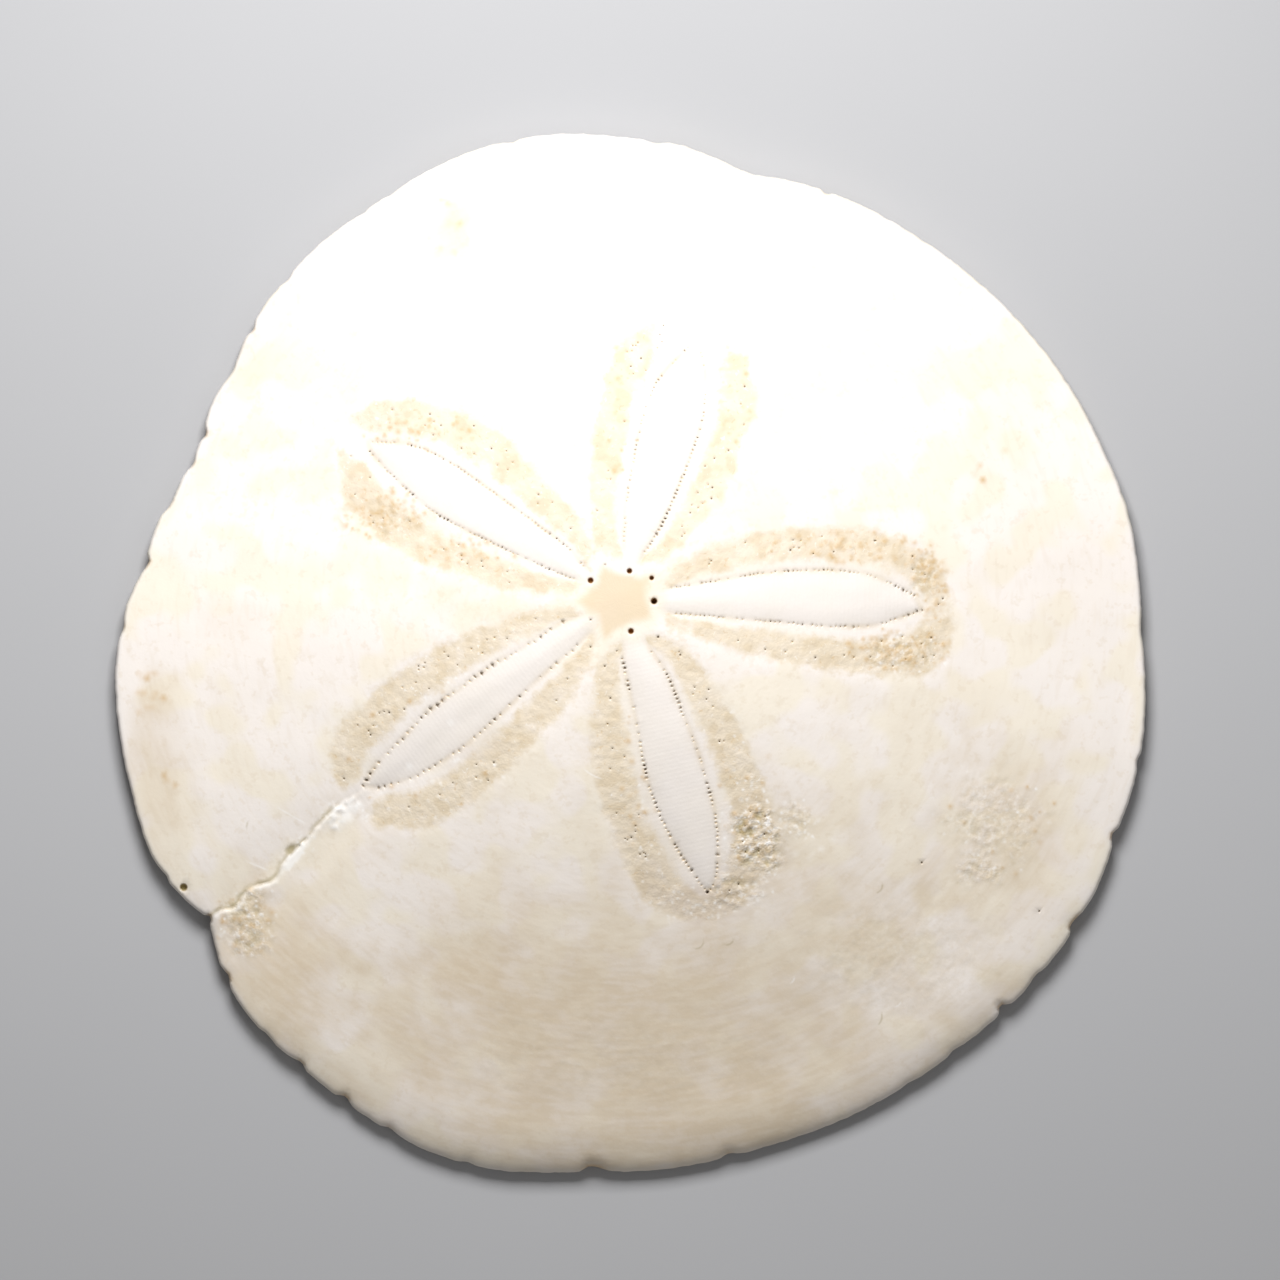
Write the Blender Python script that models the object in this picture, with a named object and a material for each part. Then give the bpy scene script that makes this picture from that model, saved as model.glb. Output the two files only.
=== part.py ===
"""A dried sand dollar, one shell, lying on its flat underside with +Z up.

Lengths are in millimetres and MM turns them into Blender's metres. Plan positions count
from the apex, the middle of the star on top, and bearings run anticlockwise from +X.
The finished shell is moved so that its bounding box stands centred on the origin.
"""

import math
import random

import bpy
import numpy as np
from mathutils import Vector, geometry, noise

MM = 0.001
FULL_TURN = 360.0

# The rim seen from above: bearing in degrees, distance from the apex
RIM_KNOTS = (
    (0, 50.3), (9, 49.9), (17, 49.0), (27, 48.0), (39, 46.7), (53, 45.3), (63, 44.5),
    (69, 43.8), (73, 43.3), (78, 43.9), (82, 44.5), (90, 45.0), (98, 45.7), (105, 46.0),
    (114, 45.8), (121, 45.4), (133, 45.3), (143, 44.8), (150, 44.0), (154, 44.2),
    (160, 43.8), (165, 44.4), (171, 45.8), (176, 46.6), (181, 48.2), (188, 49.6),
    (193, 50.2), (201, 51.0), (208, 51.8), (212, 51.7), (215, 51.2), (217.6, 50.7),
    (220, 51.6), (223, 52.9), (228, 54.1), (235, 54.8), (242, 55.6), (250, 56.5),
    (257, 56.5), (265, 55.6), (275, 55.2), (285, 54.7), (295, 54.6), (308, 54.3),
    (320, 54.3), (328, 53.9), (335, 53.0), (343, 52.5), (349, 51.7), (354, 50.9),
)
# Chips in the rim: bearing, depth, how far each runs before and after its bearing
RIM_CHIPS = (
    (63.3, 0.3, 0.5, 0.5), (136.0, 0.3, 0.6, 0.8), (143.6, 0.35, 0.5, 0.6),
    (158.1, 0.4, 0.6, 0.7), (162.3, 0.3, 0.9, 0.8), (168.0, 0.3, 1.4, 0.8),
    (175.0, 0.4, 0.3, 1.4), (183.0, 0.3, 1.1, 0.9), (217.5, 0.45, 0.35, 0.35),
    (223.6, 0.45, 0.9, 0.7), (235.4, 0.35, 1.2, 0.5), (240.7, 0.45, 0.6, 0.9),
    (246.0, 0.3, 0.5, 1.5), (266.6, 0.62, 0.5, 1.9), (281.0, 0.35, 0.8, 0.7),
    (313.1, 0.62, 0.55, 0.6), (324.1, 0.5, 0.4, 2.0), (334.5, 0.4, 0.8, 0.6),
)
CHIP_RUN = 1.0
CHIP_STEPS = (-1.6, -0.7, 0.0, 0.7, 1.6)
RIM_STEP = 3.4

# The section from the rim to the apex: a thin, steep edge, and a rounded slope behind it
# that takes the share of the rise given here: bearing in degrees, share
SLOPE_KNOTS = (
    (0, 0.08), (15, 0.0), (185, 0.0), (200, 0.12), (215, 0.3), (228, 0.45), (240, 0.75),
    (255, 0.9), (268, 1.0), (290, 1.0), (302, 0.8), (315, 0.6), (330, 0.4), (345, 0.15),
)
EDGE_RUN = 0.5
EDGE_POWER = 3.0
SLOPE_RUN = 5.0
ROUND_POWER = 2.0
NOSE_HEIGHT = 1.3
NOSE_DROP = 0.4
EDGE_TOP = 2.7
CALM_RUN = 2.6
DOME_HEIGHT = 11.1
DOME_ROUND_SHARE = 0.45
UNDER_RUN = 2.6
FLAT_RING_INNER = 12.0
HOLLOW_DEPTH = 1.9
HOLLOW_POWER = 1.5
SURFACE_WAVE = 0.18
SURFACE_WAVE_LENGTH = 17.0
TOP_RINGS = (0.1, 0.35, 1.0, CALM_RUN)
UNDER_RINGS = (0.2, 0.9, UNDER_RUN, FLAT_RING_INNER)

# The petals: (along, across) from the apex on the petal's bearing, + across to the left
PETALS = {
    "top": {
        "bearing": 76.0,
        "edge": (
            (4.6, 3.2), (8.5, 5.1), (12.3, 6.0), (16.2, 6.4), (21.8, 6.5), (25.6, 4.7),
            (27.7, 1.2), (27.8, -1.8), (26.3, -4.6), (24.6, -6.5), (21.6, -7.7),
            (17.8, -7.7), (13.0, -6.8), (9.4, -5.6), (5.4, -3.2), (4.4, -1.4), (4.2, 1.2),
        ),
        "left": ((5.6, 1.2), (9.8, 1.9), (15.9, 2.3), (19.3, 2.2), (22.0, 1.5), (25.2, -0.3)),
        "right": ((5.1, -1.0), (7.3, -1.8), (11.4, -2.6), (17.7, -3.3), (20.6, -3.1),
                  (24.0, -2.2), (25.4, -1.4)),
    },
    "right": {
        "bearing": 0.0,
        "edge": (
            (5.0, 2.6), (8.8, 5.0), (12.5, 6.2), (16.2, 6.7), (21.2, 7.0), (24.9, 6.2),
            (28.5, 4.9), (31.0, 2.2), (31.7, -1.2), (31.3, -4.8), (29.4, -6.9),
            (24.9, -6.9), (18.7, -6.3), (13.7, -5.1), (8.8, -3.7), (5.0, -2.3), (4.4, 0.4),
        ),
        "left": ((4.8, 1.2), (7.4, 1.6), (13.5, 2.6), (17.7, 2.9), (21.7, 2.8), (24.6, 2.2),
                 (28.2, 0.5)),
        "right": ((4.8, -1.2), (10.7, -1.7), (17.7, -2.3), (20.9, -2.5), (24.6, -2.3),
                  (28.9, -0.9)),
    },
    "bottom": {
        "bearing": 283.0,
        "edge": (
            (4.7, 3.2), (6.3, 5.0), (9.1, 6.3), (12.3, 7.3), (15.6, 8.1), (21.3, 9.3),
            (26.2, 8.6), (29.7, 6.2), (31.4, 3.0), (31.5, 0.3), (30.4, -2.1), (28.3, -4.2),
            (22.9, -5.5), (19.7, -6.0), (15.7, -5.9), (11.6, -5.5), (8.0, -4.4),
            (5.0, -3.0), (4.2, 0.2),
        ),
        "left": ((5.4, 1.7), (8.2, 2.7), (11.6, 3.2), (15.4, 3.8), (21.5, 4.1), (25.1, 3.7),
                 (28.0, 2.8), (29.0, 2.1)),
        "right": ((5.5, -1.2), (12.6, -1.3), (16.7, -1.5), (20.1, -1.2), (23.7, -0.4),
                  (27.1, 0.8), (28.8, 1.5)),
    },
    "lower left": {
        "bearing": 216.0,
        "edge": (
            (4.8, 1.8), (8.9, 4.2), (12.4, 5.4), (18.7, 6.5), (22.6, 7.0), (26.4, 6.7),
            (29.4, 5.2), (31.8, 3.2), (32.6, 0.4), (32.2, -2.8), (30.0, -5.4), (26.7, -6.3),
            (21.4, -6.8), (16.6, -6.6), (11.6, -5.3), (7.5, -3.9), (4.8, -2.3), (4.3, -0.2),
        ),
        "left": ((6.0, 1.0), (11.1, 1.4), (17.7, 2.2), (21.5, 2.4), (25.9, 2.0), (29.6, 0.8)),
        "right": ((5.8, -1.7), (10.7, -1.9), (14.0, -2.3), (21.3, -2.3), (24.2, -1.8),
                  (28.1, -1.2), (30.6, -0.2)),
    },
    "upper left": {
        "bearing": 150.0,
        "edge": (
            (4.8, 1.5), (8.8, 3.7), (12.7, 5.0), (19.3, 6.1), (23.1, 6.2), (27.7, 4.8),
            (29.8, 2.7), (31.0, 0.4), (31.0, -2.2), (29.4, -5.0), (26.1, -6.7),
            (22.2, -7.7), (18.7, -7.9), (15.6, -7.2), (9.3, -5.1), (6.3, -3.7), (4.6, -1.9),
        ),
        "left": ((5.0, 0.5), (8.6, 1.0), (14.2, 1.5), (18.9, 1.7), (21.5, 1.5), (26.2, 0.4),
                 (28.2, -0.3)),
        "right": ((4.8, -1.0), (7.2, -1.8), (12.3, -2.4), (16.8, -2.9), (20.3, -3.2),
                  (23.5, -3.1), (26.0, -2.5), (28.8, -1.0)),
    },
}
BAND_DEPTH = 0.22
BAND_SHOULDER = 0.7
BAND_ROUGHNESS = 0.09
BAND_GRAIN = 1.1
MIDDLE_RISE = 0.25
MIDDLE_SHOULDER = 1.5
MIDDLE_OVERLAP = 0.2
EDGE_STEP = 1.4
BAND_GRID = 1.7

# The two rows of pores in each petal
PORE_PITCH = 0.62
PORE_RADIUS = 0.2
PORE_DEPTH = 0.4
PORE_BANK = 0.34

# The star plate, the holes round it and one in the rim: place from the apex, radius, depth
STAR_TIPS = ((-4.3, -0.1), (-1.8, 3.3), (2.7, 2.2), (2.8, -1.5), (-1.6, -3.6))
STAR_WAIST_SHARE = 0.84
STAR_RISE = 0.12
STAR_SHOULDER = 0.5
HOLES = (
    (-3.0, 1.93, 0.30, 1.3), (0.73, 2.84, 0.28, 1.3), (2.86, 2.17, 0.24, 1.1),
    (3.09, -0.05, 0.32, 1.4), (0.87, -2.94, 0.30, 1.3), (-1.6, 3.44, 0.16, 0.5),
    (-3.0, -1.84, 0.16, 0.6), (3.48, -3.48, 0.16, 0.6), (-42.4, -27.7, 0.36, 0.6),
)
HOLE_SIDES = 8
HOLE_FLOOR_SHARE = 0.75

# The healed crack from the lower-left petal to the rim, with its raised far bank
CRACK = (
    (-25.9, -18.9), (-27.5, -19.9), (-29.1, -21.4), (-30.1, -22.7), (-31.0, -23.5),
    (-31.9, -24.4), (-32.75, -25.4), (-33.3, -26.5), (-33.9, -27.1), (-35.6, -27.6),
    (-36.5, -28.3), (-37.4, -29.5), (-38.7, -29.9), (-39.5, -30.4), (-40.0, -30.9),
)
CRACK_STEP = 0.8
CRACK_HALF_WIDTH = 0.35
CRACK_DEPTH = 0.45
CRACK_HOLLOW = (-32.0, -24.5)
CRACK_HOLLOW_RADIUS = 1.2
CRACK_HOLLOW_EXTRA = 0.4
CRACK_BANK_RISE = 0.22
CRACK_BANK_REACH = 2.8

# The underside: mouth, food grooves and the small vent near the rim
MOUTH_RADIUS = 2.3
MOUTH_SLOPE = 3.4
MOUTH_DEPTH = 2.6
GROOVE_REACH_SHARE = 0.8
GROOVE_HALF_WIDTH = 0.8
GROOVE_DEPTH = 0.45
GROOVE_STEP = 2.6
VENT_BEARING = 183.0
VENT_FROM_RIM = 6.5
VENT_RADIUS = 1.3
VENT_DEPTH = 1.1
VENT_WALL_SHARE = 0.5

TOP_GRID = 3.6
UNDER_GRID = 5.5
GRID_CLEARANCE_SHARE = 0.55
TIGHT_GAP = 0.2
LOOSE_GAP = 0.45
MOUTH_SIDES = 20
VENT_SIDES = 12
FACES_INSIDE_OUTLINE = 1
SAME_POINT = 1e-6
SHELL_COLOUR = (0.83, 0.76, 0.65, 1.0)
SHELL_ROUGHNESS = 0.75
SEED = 11


def clear_scene():
    """Remove whatever the file holds before modelling."""
    for thing in list(bpy.data.objects):
        bpy.data.objects.remove(thing, do_unlink=True)


def smooth_step(value):
    """Ease from 0 to 1 as value goes from 0 to 1."""
    value = np.clip(value, 0.0, 1.0)
    return value * value * (3.0 - 2.0 * value)


def rim_distance(bearings):
    """Distance from the apex to the rim at each bearing, in degrees."""
    knots = np.array(RIM_KNOTS, dtype=float)
    turn = np.array((FULL_TURN, 0.0))
    knots = np.vstack((knots - turn, knots, knots + turn))
    x, y = knots[:, 0], knots[:, 1]
    slopes = np.gradient(y, x)
    bearings = np.mod(np.asarray(bearings, dtype=float), FULL_TURN)
    left = np.searchsorted(x, bearings, side="right") - 1
    width = x[left + 1] - x[left]
    t = (bearings - x[left]) / width
    curve = (
        (2 * t**3 - 3 * t**2 + 1) * y[left]
        + (t**3 - 2 * t**2 + t) * width * slopes[left]
        + (3 * t**2 - 2 * t**3) * y[left + 1]
        + (t**3 - t**2) * width * slopes[left + 1]
    )
    return curve


def chip_depth(bearings):
    """How far the chips cut into the rim at each bearing."""
    bearings = np.asarray(bearings, dtype=float)
    reach = rim_distance(bearings)
    cut = np.zeros(len(bearings))
    for bearing, depth, before, after in RIM_CHIPS:
        apart = np.mod(bearings - bearing + FULL_TURN / 2, FULL_TURN) - FULL_TURN / 2
        along = np.radians(apart) * reach
        cut += depth * np.exp(-((along / np.where(along < 0.0, before, after)) ** 2))
    return cut


def rim_bearings():
    """Bearings of the rim's points: even steps, and closer ones across each chip."""
    even = np.arange(0.0, FULL_TURN, RIM_STEP)
    near = []
    for bearing, _, before, after in RIM_CHIPS:
        reach = rim_distance([bearing])[0]
        for step in CHIP_STEPS:
            near.append(bearing + math.degrees(step * (before if step < 0.0 else after) / reach))
    near = np.array(near)
    gap = np.min(np.abs(even[:, None] - near[None, :]), axis=1)
    return np.sort(np.mod(np.concatenate((even[gap > RIM_STEP / 3], near)), FULL_TURN))


def ring(inset):
    """Points on the outline, moved in from the rim by inset."""
    bearings = rim_bearings()
    chip = chip_depth(bearings) * (1.0 - smooth_step(inset / CHIP_RUN))
    reach = rim_distance(bearings) - inset - chip
    angles = np.radians(bearings)
    return np.column_stack((reach * np.cos(angles), reach * np.sin(angles)))


def curve_through(knots, step, closed=False):
    """Points about step apart on a smooth curve through the knots."""
    knots = [Vector((x, y)) for x, y in knots]
    count = len(knots)
    spans = count if closed else count - 1
    points = []
    for i in range(spans):
        if closed:
            before, start, end, after = (knots[(i + k) % count] for k in (-1, 0, 1, 2))
        else:
            start, end = knots[i], knots[i + 1]
            before = knots[i - 1] if i > 0 else start * 2 - end
            after = knots[i + 2] if i + 2 < count else end * 2 - start
        pieces = max(1, round((end - start).length / step))
        for k in range(pieces):
            t = k / pieces
            points.append(0.5 * (
                2 * start + (end - before) * t
                + (2 * before - 5 * start + 4 * end - after) * t**2
                + (3 * start - before - 3 * end + after) * t**3
            ))
    if not closed:
        points.append(knots[-1])
    return np.array(points)


def turned(points, bearing):
    """Turn (along, across) points onto a bearing, as plan positions."""
    angle = math.radians(bearing)
    along, across = points[:, 0], points[:, 1]
    return np.column_stack((
        along * math.cos(angle) - across * math.sin(angle),
        along * math.sin(angle) + across * math.cos(angle),
    ))


def evenly_spaced(line, step):
    """Points at equal steps along a line of points."""
    lengths = np.concatenate(([0.0], np.cumsum(np.hypot(*np.diff(line, axis=0).T))))
    places = np.linspace(0.0, lengths[-1], max(2, round(lengths[-1] / step) + 1))
    return np.column_stack([np.interp(places, lengths, line[:, k]) for k in (0, 1)])


def beside(line, distance):
    """The line moved sideways to its left."""
    run = np.gradient(line, axis=0)
    run /= np.hypot(run[:, 0], run[:, 1])[:, None]
    return line + distance * np.column_stack((-run[:, 1], run[:, 0]))


def distance_to_line(points, line):
    """Distance from each point to a line of points."""
    return np.abs(side_of_line(points, line))


def side_of_line(points, line):
    """Signed distance to a line: positive on the left of its direction."""
    sign = np.zeros(len(points))
    nearest = np.full(len(points), np.inf)
    for start, end in zip(line[:-1], line[1:]):
        run = end - start
        t = np.clip(((points - start) @ run) / max(run @ run, 1e-12), 0.0, 1.0)
        away = points - start - t[:, None] * run
        reach = np.hypot(away[:, 0], away[:, 1])
        closer = reach < nearest
        cross = run[0] * away[:, 1] - run[1] * away[:, 0]
        sign = np.where(closer, np.where(cross >= 0, 1.0, -1.0), sign)
        nearest = np.minimum(nearest, reach)
    return sign * nearest


def depth_inside(points, loop):
    """Distance in from a closed loop, negative outside it."""
    closed = np.vstack((loop, loop[:1]))
    x, y = points[:, 0], points[:, 1]
    inside = np.zeros(len(points), dtype=bool)
    for (x0, y0), (x1, y1) in zip(closed[:-1], closed[1:]):
        if y0 == y1:
            continue
        crosses = (y0 > y) != (y1 > y)
        inside ^= crosses & (x < x0 + (y - y0) * (x1 - x0) / (y1 - y0))
    return np.where(inside, 1.0, -1.0) * distance_to_line(points, closed)


def petal_lines(petal):
    """A petal's outer edge, its two pore rows and its middle zone, as plan positions."""
    edge = turned(curve_through(petal["edge"], EDGE_STEP, closed=True), petal["bearing"])
    left = turned(curve_through(petal["left"], EDGE_STEP / 2), petal["bearing"])
    right = turned(curve_through(petal["right"], EDGE_STEP / 2), petal["bearing"])
    return edge, left, right, np.vstack((left, right[::-1]))


def star_outline():
    """The star's tips with a waist point between each two."""
    tips = sorted(STAR_TIPS, key=lambda tip: math.atan2(tip[1], tip[0]))
    points = []
    for tip, following in zip(tips, tips[1:] + tips[:1]):
        points.append(tip)
        waist = (Vector(tip) + Vector(following)) / 2 * STAR_WAIST_SHARE
        points.append(tuple(waist))
    return np.array(points)


def pore_places(row):
    """The pores of one row, at an even pitch."""
    return evenly_spaced(row, PORE_PITCH)


def wave(points, length, offset):
    """A slow, seeded unevenness between about -1 and 1."""
    return np.array([
        noise.noise(Vector((x / length, y / length, offset))) for x, y in points
    ])


def polar(points):
    """Distance from the apex, and how far in from the rim, for each point."""
    reach = np.hypot(points[:, 0], points[:, 1])
    bearings = np.degrees(np.arctan2(points[:, 1], points[:, 0]))
    rim = rim_distance(bearings)
    chip = chip_depth(bearings)
    inset = rim - reach
    inset = inset - chip * (1.0 - smooth_step((inset - chip) / CHIP_RUN))
    return reach, inset, np.clip(reach / rim, 0.0, 1.0)


def slope_share(points):
    """The share of the edge's rise that its rounded slope takes."""
    knots = np.array(SLOPE_KNOTS)
    bearings = np.degrees(np.arctan2(points[:, 1], points[:, 0]))
    return np.interp(bearings, knots[:, 0], knots[:, 1], period=FULL_TURN)


def edge_lift(inset, run, power):
    """The rounding of an edge: 0 on the rim, rising to 1 at the end of its run."""
    edge = 1.0 - np.clip(inset / run, 0.0, 1.0)
    return (1.0 - edge**power) ** (1.0 / power)


def edge_height(points, inset):
    """Height of the upper surface's edge, from the nose of the rim to its full rise."""
    share = slope_share(points)
    nose = NOSE_HEIGHT - NOSE_DROP * share
    lift = (1.0 - share) * edge_lift(inset, EDGE_RUN, EDGE_POWER)
    lift += share * edge_lift(inset, SLOPE_RUN, ROUND_POWER)
    return nose + (EDGE_TOP - nose) * lift


def under_edge_height(points, inset):
    """Height of the underside's rounded edge, from the nose of the rim down to the floor."""
    nose = NOSE_HEIGHT - NOSE_DROP * slope_share(points)
    return nose * (1.0 - edge_lift(inset, UNDER_RUN, ROUND_POWER))


def petal_relief(points):
    """The sunken rough bands, the raised middles and the pores of the petals."""
    height = np.zeros(len(points))
    grain = wave(points, BAND_GRAIN, SEED)
    for petal in PETALS.values():
        edge, left, right, middle = petal_lines(petal)
        near = np.flatnonzero(depth_inside(points, edge) > 0)
        if len(near) == 0:
            continue
        local = points[near]
        from_edge = depth_inside(local, edge)
        from_rows = depth_inside(local, middle)
        band = smooth_step(from_edge / BAND_SHOULDER)
        centre = smooth_step((from_rows + MIDDLE_OVERLAP) / MIDDLE_SHOULDER)
        relief = -BAND_DEPTH * band * (1.0 - centre) + MIDDLE_RISE * centre
        relief += BAND_ROUGHNESS * grain[near] * band * (1.0 - centre)
        for row in (left, right):
            for pore in pore_places(row):
                share = np.hypot(*(local - pore).T) / PORE_RADIUS
                relief -= PORE_DEPTH * np.clip(1.0 - share**2, 0.0, 1.0)
        height[near] += relief
    return height


def crack_relief(points):
    """The open crack, deeper in its hollow, and its raised far bank."""
    line = curve_through(CRACK, CRACK_STEP)
    side = side_of_line(points, line)
    apart = np.abs(side)
    hollow = np.hypot(*(points - CRACK_HOLLOW).T) / CRACK_HOLLOW_RADIUS
    depth = CRACK_DEPTH + CRACK_HOLLOW_EXTRA * smooth_step(1.0 - hollow)
    bank = CRACK_BANK_RISE * smooth_step(1.0 - apart / CRACK_BANK_REACH) * (side > 0)
    return bank - depth * smooth_step(1.0 - apart / CRACK_HALF_WIDTH)


def hole_relief(points):
    """The holes round the star, with steep walls and flat floors."""
    height = np.zeros(len(points))
    for x, y, radius, depth in HOLES:
        share = np.hypot(points[:, 0] - x, points[:, 1] - y) / radius
        height -= depth * smooth_step((1.0 - share) / (1.0 - HOLE_FLOOR_SHARE))
    return height


def top_height(points):
    """Height of the upper surface, in millimetres above the resting plane."""
    _, inset, share = polar(points)
    height = edge_height(points, inset)
    dome = (
        DOME_ROUND_SHARE * (1.0 - share**2)
        + (1.0 - DOME_ROUND_SHARE) * 0.5 * (1.0 + np.cos(math.pi * share))
    )
    height += DOME_HEIGHT * dome
    calm_edge = smooth_step(inset / CALM_RUN)
    height += SURFACE_WAVE * wave(points, SURFACE_WAVE_LENGTH, SEED / 3) * calm_edge
    star = smooth_step(depth_inside(points, star_outline()) / STAR_SHOULDER)
    height += STAR_RISE * star
    height += petal_relief(points) + hole_relief(points)
    return height + crack_relief(points) * smooth_step(inset / TOP_RINGS[1])


def under_height(points):
    """Height of the underside: a flat ring, a shallow hollow, the mouth and grooves."""
    reach, inset, _ = polar(points)
    height = under_edge_height(points, inset)
    inner = np.clip((inset - FLAT_RING_INNER) / (RIM_KNOTS[0][1] - FLAT_RING_INNER), 0.0, 1.0)
    height += HOLLOW_DEPTH * inner**HOLLOW_POWER
    height += MOUTH_DEPTH * smooth_step(1.0 - (reach - MOUTH_RADIUS) / MOUTH_SLOPE)
    for petal in PETALS.values():
        end = rim_distance([petal["bearing"]])[0] * GROOVE_REACH_SHARE
        line = turned(np.array(((MOUTH_RADIUS, 0.0), (end, 0.0))), petal["bearing"])
        fade = smooth_step((end - reach) / (end / 2))
        apart = distance_to_line(points, line)
        height += GROOVE_DEPTH * fade * smooth_step(1.0 - apart / GROOVE_HALF_WIDTH)
    vent = np.hypot(*(points - vent_place()).T) / VENT_RADIUS
    return height + VENT_DEPTH * smooth_step((1.0 - vent) / VENT_WALL_SHARE)


def vent_place():
    """Where the small round vent opens on the underside."""
    reach = rim_distance([VENT_BEARING])[0] - VENT_FROM_RIM
    angle = math.radians(VENT_BEARING)
    return np.array((reach * math.cos(angle), reach * math.sin(angle)))


def circle(centre, radius, sides):
    """Points round a circle."""
    angles = np.arange(sides) * 2.0 * math.pi / sides
    return np.column_stack((np.cos(angles), np.sin(angles))) * radius + centre


def hex_grid(step, jitter):
    """A grid of evenly spaced points over the whole outline, slightly scattered."""
    scatter = random.Random(SEED)
    half = max(reach for _, reach in RIM_KNOTS)
    rows = int(half / (step * math.sqrt(0.75))) + 1
    columns = int(half / step) + 1
    points = []
    for row in range(-rows, rows + 1):
        for column in range(-columns, columns + 1):
            x = (column + 0.5 * (row % 2)) * step + scatter.uniform(-jitter, jitter)
            y = row * step * math.sqrt(0.75) + scatter.uniform(-jitter, jitter)
            points.append((x, y))
    return np.array(points)


def clear_of(points, others, gap):
    """The points that keep a gap to the others."""
    kept = np.ones(len(points), dtype=bool)
    for x, y in others:
        kept &= np.hypot(points[:, 0] - x, points[:, 1] - y) > gap
    return points[kept]


def stack_points(groups):
    """Join groups of (points, gap), each new group keeping its gap to those before."""
    joined = np.zeros((0, 2))
    for points, gap in groups:
        joined = np.vstack((joined, clear_of(points, joined, gap)))
    return joined


def top_points():
    """Plan points of the upper surface, the finest features first."""
    groups = []
    for x, y, radius, _ in HOLES:
        groups.append((np.array(((x, y),)), 0.0))
        groups.append((circle((x, y), radius, HOLE_SIDES), 0.0))
        groups.append((circle((x, y), radius * HOLE_FLOOR_SHARE, HOLE_SIDES), 0.0))
    crack = evenly_spaced(curve_through(CRACK, CRACK_STEP), CRACK_STEP)
    groups.append((crack, 0.0))
    for bank in (-1.0, 1.0):
        groups.append((beside(crack, bank * CRACK_HALF_WIDTH), TIGHT_GAP))
        groups.append((beside(crack, bank * 3.0 * CRACK_HALF_WIDTH), LOOSE_GAP))
    for petal in PETALS.values():
        edge, left, right, middle = petal_lines(petal)
        for row in (left, right):
            pores = pore_places(row)
            groups.append((pores, TIGHT_GAP))
            groups.append(((pores[:-1] + pores[1:]) / 2, TIGHT_GAP))
            for bank in (-PORE_BANK, PORE_BANK):
                groups.append((beside(pores, bank), TIGHT_GAP))
        groups.append((edge, LOOSE_GAP))
        groups.append((beside(edge, BAND_SHOULDER), LOOSE_GAP))
        groups.append((beside(edge, -BAND_SHOULDER), LOOSE_GAP))
    groups.append((star_outline(), LOOSE_GAP))
    for inset in TOP_RINGS:
        groups.append((ring(inset), TIGHT_GAP))
    fine = hex_grid(BAND_GRID, BAND_GRID / 6)
    bands = np.zeros(len(fine), dtype=bool)
    for petal in PETALS.values():
        bands |= depth_inside(fine, petal_lines(petal)[0]) > 0
    groups.append((fine[bands], BAND_GRID * GRID_CLEARANCE_SHARE))
    coarse = hex_grid(TOP_GRID, TOP_GRID / 8)
    groups.append((inside_of(coarse, TOP_RINGS[-1]), TOP_GRID * GRID_CLEARANCE_SHARE))
    return stack_points(groups)


def under_points():
    """Plan points of the underside."""
    groups = [(circle((0.0, 0.0), MOUTH_RADIUS * share, MOUTH_SIDES), 0.0) for share in (0.5, 1.0)]
    for share in (0.5, 1.0):
        groups.append((circle((0.0, 0.0), MOUTH_RADIUS + MOUTH_SLOPE * share, MOUTH_SIDES), 0.0))
    for share in (1.0, 0.5):
        groups.append((circle(vent_place(), VENT_RADIUS * share, VENT_SIDES), 0.0))
    for petal in PETALS.values():
        end = rim_distance([petal["bearing"]])[0] * GROOVE_REACH_SHARE
        start = MOUTH_RADIUS + MOUTH_SLOPE
        line = turned(np.array(((start, 0.0), (end, 0.0))), petal["bearing"])
        line = evenly_spaced(line, GROOVE_STEP)
        groups.append((line, LOOSE_GAP))
        for bank in (-GROOVE_HALF_WIDTH, GROOVE_HALF_WIDTH):
            groups.append((beside(line, bank), LOOSE_GAP))
    for inset in UNDER_RINGS[:-1]:
        groups.append((ring(inset), TIGHT_GAP))
    groups.append((ring(UNDER_RINGS[-1])[::2], 2.0 * LOOSE_GAP))
    coarse = hex_grid(UNDER_GRID, UNDER_GRID / 8)
    groups.append((inside_of(coarse, UNDER_RUN), UNDER_GRID * GRID_CLEARANCE_SHARE))
    return stack_points(groups)


def inside_of(points, inset):
    """The points that lie further in from the rim than inset."""
    return points[polar(points)[1] > inset + LOOSE_GAP]


def surface(nose, points, height_of):
    """Triangles over the outline: positions and faces, the nose's points first."""
    plan = [Vector(point) for point in np.vstack((nose, points))]
    outline = list(range(len(nose)))
    flat, _, faces, origins, _, _ = geometry.delaunay_2d_cdt(
        plan, [], [outline], FACES_INSIDE_OUTLINE, SAME_POINT)
    flat = np.array(flat)
    heights = height_of(flat)
    on_nose = {origin[0]: index for index, origin in enumerate(origins) if origin}
    return np.column_stack((flat, heights)), faces, [on_nose[i] for i in outline]


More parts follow.
